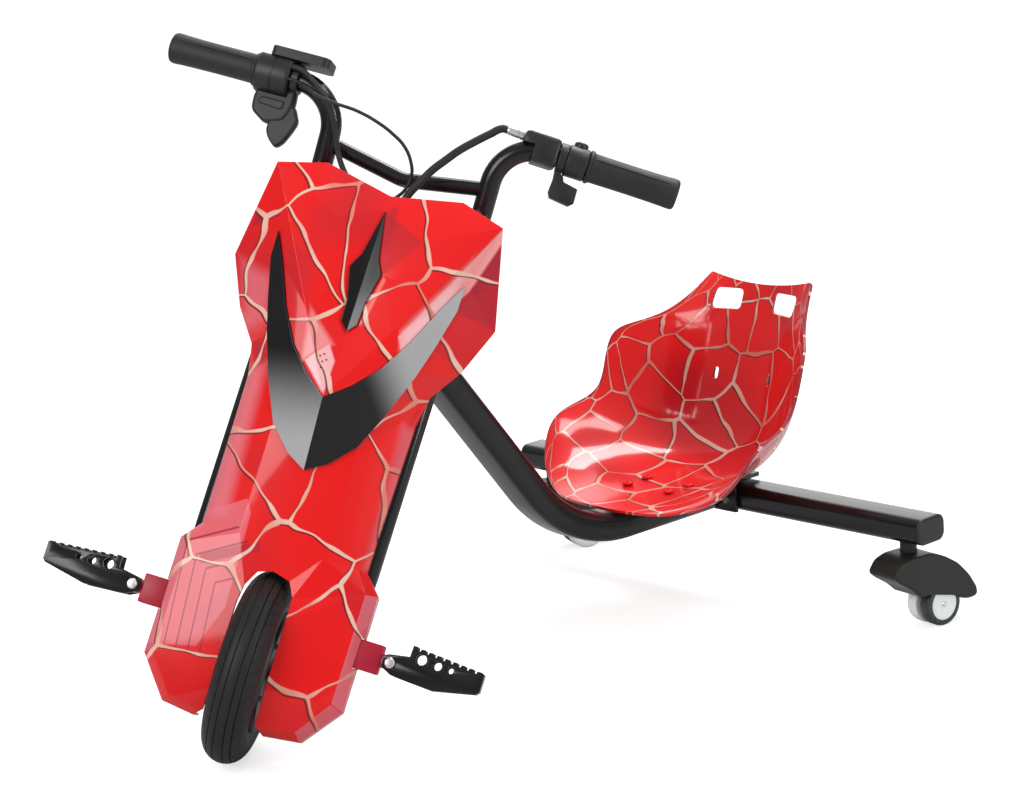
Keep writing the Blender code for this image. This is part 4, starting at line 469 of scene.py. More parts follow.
for name, heading in (("left", 83.0), ("right", 72.0)):
    pivot = Vector(joints["castor_%s_swivel" % name]["pos_m"])
    upright = Matrix.Translation((pivot.x, pivot.y, 0))
    hub = upright @ Matrix.Rotation(math.radians(heading), 4, "Z") @ Matrix.Translation((wheel_trail, 0, 0))
    stem = turn("castor_stem_%s_detailed" % name,
                [(4.4, 72), (5, 72.6), (5, 91), (9.5, 91), (10, 91.5), (10, 93.8), (9.4, 94.3),
                 (9.4, 102.2), (10, 103), (10, 105.2), (9.5, 105.7), (5, 105.7), (5, 124.5),
                 (4.5, 125)], upright, 40)
    wear(stem, grey, "frame", "castor_stem_" + name)
    hood = cut_plate("castor_hood_%s_moulded" % name, hood_side, 0.045, hub, 0.0034, 0.0046, 4)
    pockets = [cut_plate("pocket", pocket_side, 0.0175, hub @ Matrix.Translation((0, way * 0.01125, 0)), 0)
               for way in (1, -1)]
    pin_hole = turn("pin_hole", [(5.6, 71), (5.6, 110)], upright, 32)
    cut_away(hood, pin_hole, *pockets)
    lug = cut_plate("axle_lug", lug_side, 0.005, hub, 0.0005, 0.003, 2)
    across = hub @ Matrix.Translation((0, 0, castor_radius)) @ Matrix.Rotation(math.pi / 2, 4, "X")
    cut_away(lug, turn("axle_hole", [(3.6, -20), (3.6, 20)], across, 32))
    hood = join("castor_hood_%s_moulded" % name, hood, lug)
    wear(hood, grey, "castor_" + name, "castor_hood_" + name)
    axle = turn("castor_axle_%s_detailed" % name,
                [(1.8, -18.1), (2.6, -17.8), (3, -17.2), (3, 17.2), (2.6, 17.8), (1.8, 18.1)], across, 32)
    wear(axle, zinc, "castor_wheels_" + name, "castor_axle_" + name)
    axle_centre = across.translation
    for which in ("outer", "inner"):
        node = "castor_wheel_%s_%s" % (name, which)
        middle = (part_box(node)[0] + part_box(node)[1]) / 2
        outwards = abs(middle.x) > abs(axle_centre.x)
        way = 1 if (middle - axle_centre).dot(across.col[2].to_3d()) > 0 else -1
        place = across @ Matrix.Rotation(0 if way > 0 else math.pi, 4, "X")
        wheel = turn(node + "_moulded",
                     [(3.3, 17), (8, 17), (8.8, 17.6), (17.2, 17.8), (17.8, 17.3), (18.6, 17.3), (19.2, 18),
                      (21.8, 18.1), (23.6, 17.5), (24.6, 16.2), (25, 14.3), (25, 5.5), (24.6, 4),
                      (23.5, 3.1), (9, 3.1), (3.3, 3.1), (3.3, 17)], place, 72)
        ring = wheel.data.attributes.new("ring", "FLOAT", "POINT")
        back_to_hub = place.inverted()
        for vertex, value in zip(wheel.data.vertices, ring.data):
            there = back_to_hub @ vertex.co
            value.value = 1.0 if outwards and math.hypot(there.x, there.y) > tread_edge else 0.0
        wear(wheel, milky, "castor_wheels_" + name, node)


# Seat bracket: a plate on the main tube with a strut bent up the back of the seat, cut and welded from
# steel sheet and powder coated.
wear(dressed("seat_bracket_detailed", "seat_bracket", 0.0006, 2, 30), black_coat, "frame", "seat_bracket")


# Seat: one bucket of glossy red plastic, 3 mm thick, printed with cracked ice: irregular pale lines, each
# with a dark line along its lower side. It has two hand holes and two strap slots, and it lies on its
# bracket, where its stations are measured from.
def cracked_ice(finish, vector, cell, line):
    """Masks of the pale lines and of their shadow, from flat coordinates in metres."""
    drift = finish.vector("SUBTRACT", finish.noise_2d(vector, 20.0, "Color"), (0.5, 0.5, 0.5))
    drift = finish.node("VectorMath", {"operation": "SCALE"}, {0: drift, "Scale": cell * 0.2})
    bent = finish.vector("ADD", vector, drift)
    swell = finish.ramp(finish.noise(vector, 26.0, 1.0), 0.35, 0.65)
    masks = []
    for shift in ((0, 0, 0), (line * 0.34, line * 0.42, 0)):
        moved = finish.vector("ADD", bent, shift)
        gap = finish.node("TexVoronoi", {"voronoi_dimensions": "2D", "feature": "DISTANCE_TO_EDGE"},
                          {"Vector": moved, "Scale": 1 / cell, "Randomness": 0.85})
        half = line / cell / 2 * (0.45 + 0.9 * swell)
        masks.append(1 - finish.ramp(gap - half, -0.006, 0.006))
    return masks


def printed_red(red, vector, cell, line, ground, gloss):
    """Feeds a finish with the print on a ground colour, under a clear coat."""
    lines, shadow = cracked_ice(red, vector, cell, line)
    warm = red.ramp(red.noise(vector, 14.0, 1.0), 0.4, 0.64)
    pale = red.mix(warm, (0.8, 0.5, 0.4), (0.72, 0.2, 0.15))
    shaded = red.mix(shadow * 0.85, ground, (0.1, 0.008, 0.01))
    mottle = red.noise(vector, 300.0, 2.0)
    return red.done(base_color=red.mix(lines, shaded, pale), roughness=0.36 + 0.08 * warm,
                    specular_ior_level=0.1, coat_weight=gloss, coat_roughness=0.09,
                    normal=red.bump(lines + 0.05 * mottle, 0.0002, 0.4))


seat_wall = 0.0032
seat_base = Vector((0, bar_middle.y, spine_level + 0.0215))
seat_stations = (
    ((-192.6, 1.2), (118, -160, 5), 3.0),
    ((-162.6, 3.2), (150, -142, 22), 3.2),
    ((-117.6, 3), (161, -119.6, 60.5), 3.2),
    ((-72.6, 3), (162, -94.6, 75.5), 3.2),
    ((-27.6, 4.5), (156, -56.6, 81.5), 2.9),
    ((9.4, 13.5), (152, -34.6, 94.5), 2.5),
    ((34.4, 36.5), (155, -23.6, 124.5), 2.2),
    ((50.4, 76.5), (154, -12.6, 154.5), 2.0),
    ((63.4, 118.5), (142, 5.4, 162.5), 2.0),
    ((75.4, 156.5), (110, 38.4, 170.5), 2.0),
    ((85.4, 186.5), (88, 72.4, 197.5), 2.0),
    ((92.4, 206.5), (80, 92.4, 216.5), 2.0),
)
only(nodes["seat_shell"])
bpy.ops.mesh.primitive_grid_add(x_subdivisions=10, y_subdivisions=len(seat_stations) - 1, size=1)
seat = bpy.context.object
seat.name = "bucket_seat"
for vertex in seat.data.vertices:
    share = 2 * vertex.co.x
    (middle_y, middle_z), rim, fullness = seat_stations[round((vertex.co.y + 0.5) * (len(seat_stations) - 1))]
    out = math.copysign(math.sin(abs(share) * math.pi / 2) ** 0.85, share)
    rise = abs(out) ** fullness
    vertex.co = seat_base + mm * Vector((rim[0] * out, middle_y + (rim[1] - middle_y) * rise,
                                         middle_z + (rim[2] - middle_z) * rise))
modify(seat, "SUBSURF", levels=3, render_levels=3)
modify(seat, "SOLIDIFY", thickness=seat_wall, offset=-1)
back_y = seat_base.y + seat_stations[-1][0][0] * mm
for side in (1, -1):
    for (width, height), corner, (x, z) in (((0.04, 0.023), 0.0055, (0.045, 0.188)),
                                            ((0.006, 0.014), 0.0029, (0.042, 0.1035))):
        only(seat)
        bpy.ops.mesh.primitive_plane_add(size=1, rotation=(math.pi / 2, 0, 0),
                                         location=(side * x, back_y + 0.1, seat_base.z + z))
        cutter = bpy.context.object
        cutter.scale = (width, height, 1)
        start_edit()
        bpy.ops.mesh.bevel(offset=corner, segments=5, affect="VERTICES")
        extrude(0, -0.2, 0)
        end_edit()
        cut_away(seat, cutter)
modify(seat, "BEVEL", width=0.0011, segments=3, limit_method="ANGLE", angle_limit=math.radians(60))
smooth(50)


def seat_print_and_painted_shade():
    red = Finish("seat_print_and_painted_shade")
    flat = red.vector("MULTIPLY", red.here("UV"), (0.44, 0.42, 0))
    sideways = red.node("SeparateXYZ", {}, {0: red.here("UV")})
    broad = red.ramp(red.noise_2d(flat, 8.0), 0.36, 0.7)
    ground = red.mix(broad, (0.86, 0.008, 0.01), (0.64, 0.008, 0.014))
    # Painted shade: the wing on the rider's left is darkened towards crimson, as the side turned away from the
    # light.
    shaded_wing = red.ramp(sideways, 0.7, 0.98)
    ground = red.mix(shaded_wing * 0.8, ground, (0.34, 0.006, 0.022))
    hem = 1 - red.ramp(sideways.math("MINIMUM", 1 - sideways), 0.014, 0.026)
    ground = red.mix(hem * 0.8, ground, (0.26, 0.03, 0.05))
    return printed_red(red, flat, 0.054, 0.0034, ground, 0.8)


wear(seat, (seat_print_and_painted_shade(), "red_gloss"), "frame", "seat_shell")


# Seat bolts: four button heads with hexagon sockets, enamelled in the seat's red, on the pan of the seat.
enamel = (mottled("red_enamel", (120.0, 3.0), (120.0, 3.0), (0.74, 0.008, 0.01), (0.86, 0.01, 0.012),
                  (0.38, 0.12), (0.0001, 0.2), specular_ior_level=0.2), "zinc_steel")
pan_height = 0.0061
bolt_places = [(x, y) for y in (-0.1166, -0.0846) for x in (0.033, -0.033)]
for number, (x, y) in enumerate(bolt_places, 1):
    bolt = socket_bolt("seat_bolt_%d_detailed" % number, 6.5, 3, 2.2, 3, 15.3,
                       Matrix.Translation(seat_base + Vector((x, y, pan_height))))
    wear(bolt, enamel, "frame", "seat_bolt_%d" % number)


# Fork: two 22 mm uprights welded to two plate crowns, a battery shelf and two dropouts, powder coated.
wear(dressed("fork_welded", "fork_frame", 0.0005, 2, 40), black_coat, "fork", "fork_frame")


# Battery: a pack of cells in blue shrink-wrap, lying on the fork's shelf behind the front cover.
wrap = mottled("battery_wrap", (120.0, 4.0), (120.0, 4.0), (0.012, 0.04, 0.14), (0.02, 0.07, 0.2),
               (0.25, 0.2), (0.0008, 0.4))
battery = dressed("battery_wrapped", "battery_pack", 0.002, 3, 30)
wear(battery, (wrap, "battery_wrap"), "fork", "battery_pack")


# Controller: an anodised aluminium case with brushed faces, screwed to the front of the crowns.
anodised = mottled("anodised_case", (1500.0,), (1500.0,), (0.42, 0.43, 0.44), (0.5, 0.51, 0.52), (0.4, 0.1),
                   (0.0001, 0.2), metallic=0.9)
controller = dressed("controller_case", "motor_controller", 0.0008, 2, 30)
wear(controller, (anodised, "controller_case"), "fork", "motor_controller")


# Rear cover: a shallow moulding of black nylon that closes the back of the fork.
wear(dressed("rear_cover_moulded", "rear_cover", 0.0006, 2, 30), black_nylon, "fork", "rear_cover")


# Front cover: one faceted shell of glossy red plastic with the seat's print, pink and pale panels of painted
# highlight, crimson panels of painted shade, a pale painted highlight with dark dots over the nose, and dark
# lines of painted shade for the steps on the guard beside the wheel.
def on_the_cover(finish):
    """Distances sideways and up the steering line from the wheel's centre, in metres."""
    here = finish.vector("SUBTRACT", finish.here(), wheel_centre)
    return [finish.vector("DOT_PRODUCT", here, line, "Value") for line in (axle_line, steering_line)]


def inside_line(sideways, up, start, end):
    """How far a point lies to the left of a line that runs from start to end, both in mm."""
    run = Vector((end[0] - start[0], end[1] - start[1])).normalized()
    return up * run.x - sideways * run.y - (start[1] * run.x - start[0] * run.y) * mm


def panel(finish, sideways, up, corners, soft):
    """The mask of a convex panel from its corners in the cover's frame, in mm, as is its soft edge."""
    depth = None
    area = sum(a[0] * b[1] - b[0] * a[1] for a, b in zip(corners, corners[1:] + corners[:1]))
    corners = corners if area > 0 else corners[::-1]
    for start, end in zip(corners, corners[1:] + corners[:1]):
        inside = inside_line(sideways, up, start, end)
        depth = inside if depth is None else depth.math("MINIMUM", inside)
    return finish.ramp(depth, -soft * mm, soft * mm)


def cover_print_and_painted_light():
    red = Finish("cover_print_and_painted_light")
    sideways, up = on_the_cover(red)
    flat = red.node("CombineXYZ", {}, {"X": sideways, "Y": up})
    broad = red.ramp(red.noise_2d(flat, 9.0), 0.44, 0.74)
    ground = red.mix(broad, (0.76, 0.008, 0.008), (0.6, 0.012, 0.018))
    # Painted light on whole facets: a pink highlight where a facet is marked above 0, crimson shade where it
    # is marked below 0.
    painted_facet_light = red.node("Attribute", {"attribute_name": "painted_facet_light"}, out="Fac")
    ground = red.mix(red.ramp(painted_facet_light, 0.0, 1.0, False), ground, (0.66, 0.15, 0.19))
    ground = red.mix(red.ramp(painted_facet_light, 0.0, -1.0, False), ground, (0.36, 0.01, 0.026))
    # Painted light: the pink, pale, coral, salmon and rose panels are painted highlights and reflections on
    # facets that face the lamps, and the crimson panels are painted shade on facets turned away.
    pink_highlight, pale, crimson = (0.74, 0.2, 0.24), (0.84, 0.48, 0.5), (0.36, 0.012, 0.03)
    salmon_highlight, rose_highlight, coral_highlight = (0.88, 0.2, 0.15), (0.8, 0.3, 0.3), (0.86, 0.33, 0.33)
    painted_light_panels = (
        (((121.3, 498.5), (52.9, 360), (60.4, 345), (79, 380), (106.5, 428), (124.9, 484.7)), coral_highlight, 0.9,
         1.2),
        (((95, 442), (56, 366), (60, 348), (90, 403)), pale, 0.85, 6),
        (((124.2, 485.9), (105.9, 431.8), (115.8, 427.2), (132.9, 464.7)), crimson, 0.8, 1.2),
        (((-129.8, 447.5), (-99.2, 449.5), (-129.9, 430.8)), crimson, 0.7, 1.2),
        (((-130, 395), (-90, 385), (-84, 337.3), (-110, 330.9)), pink_highlight, 0.6, 10),
        (((-94.9, 318.6), (-79.1, 323.4), (-70.8, 297.7), (-82.6, 294.1)), crimson, 0.6, 4),
        (((-100, 290), (-72, 298), (-64, 140), (-95, 130)), pink_highlight, 0.75, 9),
        (((80, 280), (95, 280), (95, 130), (86, 130)), pink_highlight, 0.5, 6),
        (((3, 485), (18, 497), (15, 470), (25, 426), (13, 428)), crimson, 0.55, 3),
        (((19, 415.5), (22.5, 412.5), (15, 366), (10.5, 362)), salmon_highlight, 0.8, 1.2),
        (((-39.5, 361), (-8.6, 334), (-32.8, 308.6)), rose_highlight, 0.85, 4),
        (((-29.2, 309.4), (-11.5, 332.9), (-1.2, 317.9), (-0.6, 281.9)), pale, 0.9, 1.2),
        (((-130, 113), (-46.8, 161.2), (-15.7, 104.5), (-36.4, 50), (-35, 8.4), (-130, -13)), pink_highlight, 0.6, 1.2),
        (((-79.2, 94.8), (-21.8, 123), (-19, 114.3), (-75.1, 85.4)), crimson, 0.65, 1.2),
    )
    for corners, colour, share, soft in painted_light_panels:
        ground = red.mix(share * panel(red, sideways, up, corners, soft), ground, colour)
    # Painted shade: dark lines parallel to the guard's outer edges stand for the shaded edges of its embossed
    # steps.
    level = inside_line(sideways, up, (-87.9, 2.8), (-95.8, 92.9)) * (-1 / 0.0128)
    slant = inside_line(sideways, up, (-94.7, 106.1), (-48.3, 132)) * (-1 / 0.0165)
    step = level.math("MINIMUM", slant)
    ring = step.math("FRACT")
    painted_step_shade = (ring < 0.13) * (step > -0.05) * (step < 3.3) * (up > -0.004) * (sideways < -0.034)
    painted_step_shade = painted_step_shade * (inside_line(sideways, up, (-25.7, 121.8), (-48.3, 132)) > 0.0)
    ground = red.mix(painted_step_shade * 0.75, ground, (0.26, 0.01, 0.022))
    dots = None
    for x, z in ((-16.1, 318.2), (-12.9, 321.3), (-12.3, 313), (-9.1, 316.1), (-11.5, 306.9)):
        span = red.vector("DISTANCE", flat, (x * mm, z * mm, 0), "Value")
        dots = span if dots is None else dots.math("MINIMUM", span)
    ground = red.mix(1 - red.ramp(dots, 0.0009, 0.0013), ground, (0.42, 0.01, 0.02))
    return printed_red(red, flat, 0.086, 0.0038, ground, 0.4)


def paint_light_on_facets(piece, spots):
    """Paints light on the cover's facets: each facet whose middle lies near a spot, in mm, gets that spot's
    value, above 0 for a pink painted highlight and below 0 for crimson painted shade.
    """
    painted_facet_lights = piece.data.attributes.new("painted_facet_light", "FLOAT", "FACE")
    for face, painted_facet_light in zip(piece.data.polygons, painted_facet_lights.data):
        there = fork_frame.inverted() @ face.center
        reach, value = min((math.hypot(there.x - x * mm, there.z - z * mm), value) for x, z, value in spots)
        painted_facet_light.value = value if reach < 0.02 else 0.0


def drawn_in(place):
    """Brings the edges of the wheel slot nearer to the tyre, corner by corner, in mm."""
    there = fork_frame.inverted() @ place
    for x, z, inwards, forwards in ((-18.5, 93.5, 3, 0), (-30.5, 78, 6, 0), (-31.5, 58, 4.5, 0),
                                    (-31.5, -17, 4, 0), (-31.5, -55, 3.5, 0), (30.5, 78, 3.5, 5),
                                    (31.5, 58, 3.5, 10), (31.5, -17, 3, 12), (31.5, -55, 3, 9)):
        if math.hypot(there.x - x * mm, there.z - z * mm) < 0.0065 and there.y < -0.034:
            there.x -= math.copysign(inwards, x) * mm
            there.y -= forwards * mm
            return fork_frame @ there
    return place


cover = dressed("front_guard", "front_cover", 0.0011, 3, 14, moved=drawn_in)
# Spots of painted light: above 0 a pink painted highlight on facets facing the lamps, below 0 crimson painted
# shade on facets turned away.
paint_light_on_facets(cover, ((120.6, 444.4, -0.8), (115, 413, -0.7), (118, 380, -0.3), (100, 50, 0.8), (85, -40, 0.7),
                    (-100, 40, 0.8), (25, 445, -0.4), (-118, 400, 0.0), (0, 400, 0.0)))
wear(cover, (cover_print_and_painted_light(), "red_gloss"), "fork", "front_cover")


# Chevron and fin: two thin mouldings of gloss black plastic stuck on the cover. A painted reflection turns the
# chevron grey down its left arm, which ends at the crease of its prow, and again up its right arm, and a
# painted highlight greys the lower right of the fin.
def black_with_painted_reflection(name, reflection_fades):
    gloss = Finish(name)
    sideways, up = on_the_cover(gloss)
    colour = (0.0035, 0.0035, 0.004)
    # Each fade paints a reflection in grey over the black, on one side of the cover.
    for side, (run, rise), black_until, grey_from, grey in reflection_fades:
        reflection_fade = gloss.ramp(run * sideways + rise * up, black_until, grey_from)
        colour = gloss.mix(reflection_fade * (side * sideways > 0.0), colour, grey)
    broad = gloss.noise(gloss.here(), 12.0, 2.0)
    return gloss.done(base_color=colour, roughness=0.3 + 0.08 * broad, specular_ior_level=0.25,
                      coat_weight=0.15, coat_roughness=0.12,
                      normal=gloss.bump(gloss.noise(gloss.here(), 500.0), 0.0001, 0.15))


painted_reflection_grey = (0.38, 0.38, 0.39)
for name, reflection_fades in (("chevron_trim", ((-1, (0.1, -1.00), -0.325, -0.225, painted_reflection_grey),
                                      (1, (0.8, 0.6), 0.208, 0.262, painted_reflection_grey))),
                    ("fin_trim", ((1, (0.6, -0.8), -0.325, -0.29, (0.1, 0.1, 0.11)),))):
    trim = dressed(name + "_moulding", name, 0.0005, 2, 14, 12)
    wear(trim, (black_with_painted_reflection(name + "_gloss", reflection_fades), "black_gloss"), "fork", name)


# Front wheel: a hub motor with a cast casing, its cover plates held by six screws a side, and a round
# rubber tyre with two pairs of grooves and small slanting sipes on its shoulders.
cast = mottled("motor_casting", (800.0, 3.0), (800.0, 3.0), (0.03, 0.03, 0.032), (0.07, 0.07, 0.074),
               (0.38, 0.14), (0.0003, 0.3), metallic=0.6)
along_axle = fork_frame @ Matrix.Rotation(math.pi / 2, 4, "Y")
half_motor = [(6.6, 30), (15, 30), (19, 29.6), (20.4, 28.5), (23.2, 26.4), (26.2, 25.6), (30, 25),
              (33, 23.8), (48, 23.8), (50, 25), (58.5, 25.4), (60.2, 25), (62.2, 23.6), (63, 21.6)]
other_half = [(radius, -x) for radius, x in reversed(half_motor)]
motor = turn("hub_motor_cast", half_motor + other_half + half_motor[:1], along_axle, 96)
screws = []
for way in (1, -1):
    for step in range(6):
        around = Matrix.Rotation(math.radians(60 * step), 4, "Z")
        place = along_axle @ (Matrix() if way > 0 else Matrix.Rotation(math.pi, 4, "X")) @ around
        place = place @ Matrix.Translation((0.0545, 0, 0.025))
        screws.append(socket_bolt("screw", 3.2, 1.8, 1.3, 1.6, 2, place))
motor = join("hub_motor_cast", motor, *screws)
wear(motor, (cast, "motor_casting"), "front_wheel", "hub_motor")


def tyre_rubber():
    """Dull black, with the sipes cut by bump: slanting dashes round each shoulder."""
    rubber = Finish("tyre_rubber")
    here = rubber.vector("SUBTRACT", rubber.here(), wheel_centre)
    across, ahead, up = [rubber.vector("DOT_PRODUCT", here, fork_frame.col[axis].to_3d(), "Value")
                         for axis in range(3)]
    around = up.math("ARCTAN2", ahead) * (44 / (2 * math.pi))
    out = across.math("ABSOLUTE")
    dash = (around + out * 60.0).math("FRACT")
    shoulder = rubber.ramp(out, 0.012, 0.0126) * (1 - rubber.ramp(out, 0.0195, 0.0205))
    sipe = (1 - rubber.ramp((dash - 0.5).math("ABSOLUTE"), 0.07, 0.13)) * shoulder
    bloom = rubber.noise(rubber.here(), 45.0, 4.0)
    grain = rubber.noise(rubber.here(), 2000.0, 2.0)
    height = rubber.bump(grain, 0.0002, 0.3)
    return rubber.done(base_color=rubber.mix(bloom, (0.0065, 0.0065, 0.007), (0.015, 0.015, 0.016)),
                       roughness=0.46 + 0.18 * bloom, specular_ior_level=0.32,
                       normal=rubber.bump(sipe, -0.0016, 0.9, height))


def tyre_profile():
    """The tyre's section as (radius, distance along the axle) in mm, from one bead round to the other."""
    grooves = (13.0, 33.0)
    section = [(63.4, 18), (64, 19.6)]
    for step in range(0, 181):
        angle = 96 - step * 192 / 180
        depth = sum(1.2 * max(0.0, 1 - ((abs(angle) - groove) / 2.2) ** 2) for groove in grooves)
        flank = 23.5 - depth
        section.append((78.5 + flank * math.cos(math.radians(angle)), flank * math.sin(math.radians(angle))))
    return section + [(64, -19.6), (63.4, -18), (63.4, 18)]


tyre = turn("front_tyre_moulded", tyre_profile(), along_axle, 128, 30)
wear(tyre, (tyre_rubber(), "tyre_rubber"), "front_wheel", "front_tyre")
wear(dressed("motor_axle_turned", "motor_axle", 0.0004, 2, 40), zinc, "fork", "motor_axle")
for name in ("axle_nut_left", "axle_nut_right"):
    wear(dressed(name + "_detailed", name, 0.0005, 2, 40), zinc, "fork", name)


# Foot pegs: steel strip bent to a U, with sawn teeth and three holes, powder coated. Each folds up on a
# zinc plated pin through the tongue of its bracket, a steel block in crimson paint.
def narrowed(place):
    """A bracket's corner, drawn in along the pin so that the peg's cheeks clear it when they fold up."""
    at = fork_frame.inverted() @ place
    at.y = peg_line + (at.y - peg_line) * 0.97
    return fork_frame @ at


crimson = (mottled("crimson_paint", (30.0, 3.0), (700.0,), (0.3, 0.004, 0.018), (0.42, 0.008, 0.032),
                   (0.34, 0.1), (0.0003, 0.2), specular_ior_level=0.35), "crimson_paint")
peg_line = -0.01
for name in ("left", "right"):
    for part, sharp, moved, look, body in (("peg_bracket_", 40, narrowed, crimson, "fork"),
                                           ("peg_", 35, None, black_coat, "peg_" + name),
                                           ("peg_pin_", 40, None, zinc, "fork")):
        piece = dressed(part + name + "_detailed", part + name, 0.0003, 2, sharp, moved=moved)
        wear(piece, look, body, part + name)


# Handlebar: 22 mm steel tube, bent from the fork's risers out to the grips, with a thinner brace bar
# welded between the risers, all in the frame's black powder coat.
upright_x = 0.088
riser_foot = 0.4931
lean_from = 0.52
bar_height = 0.597
bar_forward = 0.026
bar_sweep = math.radians(7.5)
bar_end = 0.1872


def bent_bar(name, corners, radius, bend, steps=14):
    """A round bar bent through its corners, in the fork's frame."""
    along = (corners[1] - corners[0]).normalized()
    only(nodes["handlebar"])
    bpy.ops.mesh.primitive_circle_add(vertices=36, radius=radius, fill_type="NOTHING", location=corners[0],
                                      rotation=along.to_track_quat("Z", "Y").to_euler())
    bar = bpy.context.object
    bar.name = name
    start_edit()
    run_along(corners, bend, steps)
    end_edit()
    return bar


halves = []
for side in (1, -1):
    out = Vector((side * math.cos(bar_sweep), math.sin(bar_sweep), 0))
    top = Vector((side * upright_x, -bar_forward, bar_height))
    halves.append(bent_bar("half_bar", [Vector((side * upright_x, 0, riser_foot)),
                                        Vector((side * upright_x, 0, lean_from)), top, top + out * bar_end],
                           0.011, 0.045))
brace_height = 0.545
brace_y = -(brace_height - lean_from) * bar_forward / (bar_height - lean_from)
brace_sag = 0.016
brace = bent_bar("brace", [Vector((-upright_x, brace_y, brace_height)),
                           Vector((0, brace_y, brace_height - brace_sag)),
                           Vector((upright_x, brace_y, brace_height))], 0.008, 0.04, 8)
handlebar = join("bent_handlebar", *halves, brace)
handlebar.data.transform(fork_frame)
wear(handlebar, black_coat, "fork", "handlebar")
for name, side in (("left", 1), ("right", -1)):
    clamp = turn("riser_clamp_%s_turned" % name,
                 [(11.4, 478), (14.8, 478), (15.3, 478.5), (15.3, 483), (14.7, 483.6), (14.7, 501.4),
                  (15.3, 502), (15.3, 506.5), (14.8, 507), (11.4, 507),
                  (11.4, 478)], fork_frame @ Matrix.Translation((side * upright_x, 0, 0)), 56)
    wear(clamp, black_coat, "fork", "riser_clamp_" + name)


# Grips: soft black rubber sleeves with an inner flange, a raised line along the front and a rounded end
# with a drain hole.
def along_bar(side):
    """A frame at the corner of a riser: X out along the grip, Z up the steering line."""
    turned = Matrix(((side * math.cos(bar_sweep), -math.sin(bar_sweep), 0),
                     (math.sin(bar_sweep), side * math.cos(bar_sweep), 0), (0, 0, 1))).to_4x4()
    return fork_frame @ Matrix.Translation((side * upright_x, -bar_forward, bar_height)) @ turned


def on_bar(bar, along):
    """The place of a round piece on the bar, that far out from the riser's corner."""
    return bar @ Matrix.Translation((along, 0, 0)) @ Matrix.Rotation(math.pi / 2, 4, "Y")


rubber = (mottled("soft_rubber", (40.0, 4.0), (2200.0,), (0.008, 0.008, 0.008), (0.019, 0.019, 0.019),
                  (0.44, 0.2), (0.0002, 0.3), specular_ior_level=0.38), "black_rubber")
grip_side = [(11.3, 0), (17, 0), (17.6, 0.6), (17.6, 3.2), (16.9, 4), (16, 4.6), (15.6, 6), (15.5, 20),
             (15.4, 45), (15.6, 70), (16, 85), (16.3, 90), (16.3, 93.6), (16, 95.6), (15.2, 97.1),
             (13.8, 97.9), (12.5, 98), (4, 98), (3.6, 97.6), (3.6, 95)]
for name, side in (("left", 1), ("right", -1)):
    bar = along_bar(side)
    grip = turn("grip_%s_moulded" % name, grip_side, on_bar(bar, 0.0925), 72)
    ridge = cut_plate("ridge", ((99, 6), (180, 6), (180, 7.5), (99, 7.5)), 0.0298, bar, 0.0006, 0.0006, 2)
    grip = join("grip_%s_moulded" % name, grip, ridge)
    wear(grip, rubber, "fork", "grip_" + name)


# Throttle: a round housing cut flat under the display pod, and a thumb paddle that turns on the bar, with
# a padded knuckle and a curved blade. Both are moulded in black nylon.
bar = along_bar(-1)
housing = turn("throttle_housing_moulded",
               [(11.3, 0), (20, 0), (21.4, 0.6), (22.2, 1.8), (22.5, 3.6), (22.5, 18), (21.9, 18.6),
                (21.9, 19.6), (22.5, 20.2), (22.5, 34.9), (22.2, 36.7), (21.4, 37.9), (20, 38.5),
                (11.3, 38.5), (11.3, 0)],
               on_bar(bar, 0.0535), 72)
only(housing)
bpy.ops.object.mode_set(mode="EDIT")
bpy.ops.mesh.select_all(action="SELECT")
housing_cut = 0.0165
bpy.ops.mesh.bisect(plane_co=bar @ Vector((0, 0, housing_cut)), plane_no=bar.col[2].to_3d(), use_fill=True,
                    clear_outer=True)
bpy.ops.object.mode_set(mode="OBJECT")
wear(housing, black_nylon, "fork", "throttle_housing")

pod_middle, pod_foot, pod_length, pod_width, pod_height = 0.0492, 0.0168, 0.0646, 0.036, 0.01
only(housing)
bpy.ops.mesh.primitive_plane_add(size=1, location=(pod_middle, 0, pod_foot))
pod = bpy.context.object
pod.name = "display_pod_moulded"
pod.scale = (pod_length, pod_width, 1)
start_edit()
bpy.ops.mesh.bevel(offset=0.0075, segments=7, affect="VERTICES")
bpy.ops.mesh.select_mode(type="FACE")
bpy.ops.mesh.select_all(action="SELECT")
extrude(0, 0, pod_height)
for rim, rise in ((0.0042, -0.0022), (0.0012, 0.0006), (0.006, -0.0005)):
    bpy.ops.mesh.inset(thickness=rim)
    extrude(0, 0, rise)
end_edit()
modify(pod, "BEVEL", width=0.001, segments=3, limit_method="ANGLE", angle_limit=math.radians(50))
smooth(40)
pod.data.transform(bar)
wear(pod, black_nylon, "fork", "display_pod")

paddle = [cut_plate(part, corners, thickness, bar, edge, corner, segments)
          for part, thickness, edge, corner, segments, corners in (
              ("knuckle", 0.013, 0.004, 0.005, 5,
               ((44.5, -12), (85, -14), (88.8, -26), (87, -43), (69, -54), (48, -47), (42.5, -30))),
              ("blade", 0.01, 0.0025, 0.004, 4, ((33.5, -44), (42, -28), (64, -40), (65, -60),
                                                    (60, -68), (50, -76.5), (43, -70), (37.5, -57))),
              ("pad", 0.0155, 0.0016, 0.003, 3, ((52, -27), (80, -27), (81.5, -35), (54, -37))))]
for part in paddle:
    cut_away(part, turn("room", [(23.6, 0), (23.6, 80)], on_bar(bar, 0.0529), 72),
             turn("bore", [(15, 0), (15, 30)], on_bar(bar, 0.03), 56))
ring = turn("ring", [(11.7, 0), (15.4, 0), (16, 0.6), (16, 7.4), (15.4, 8), (11.7, 8), (11.7, 0)],
            on_bar(bar, 0.0449), 56)
thumb = join("thumb_throttle_moulded", *paddle, ring)
wear(thumb, black_nylon, "thumb_throttle", "thumb_throttle")


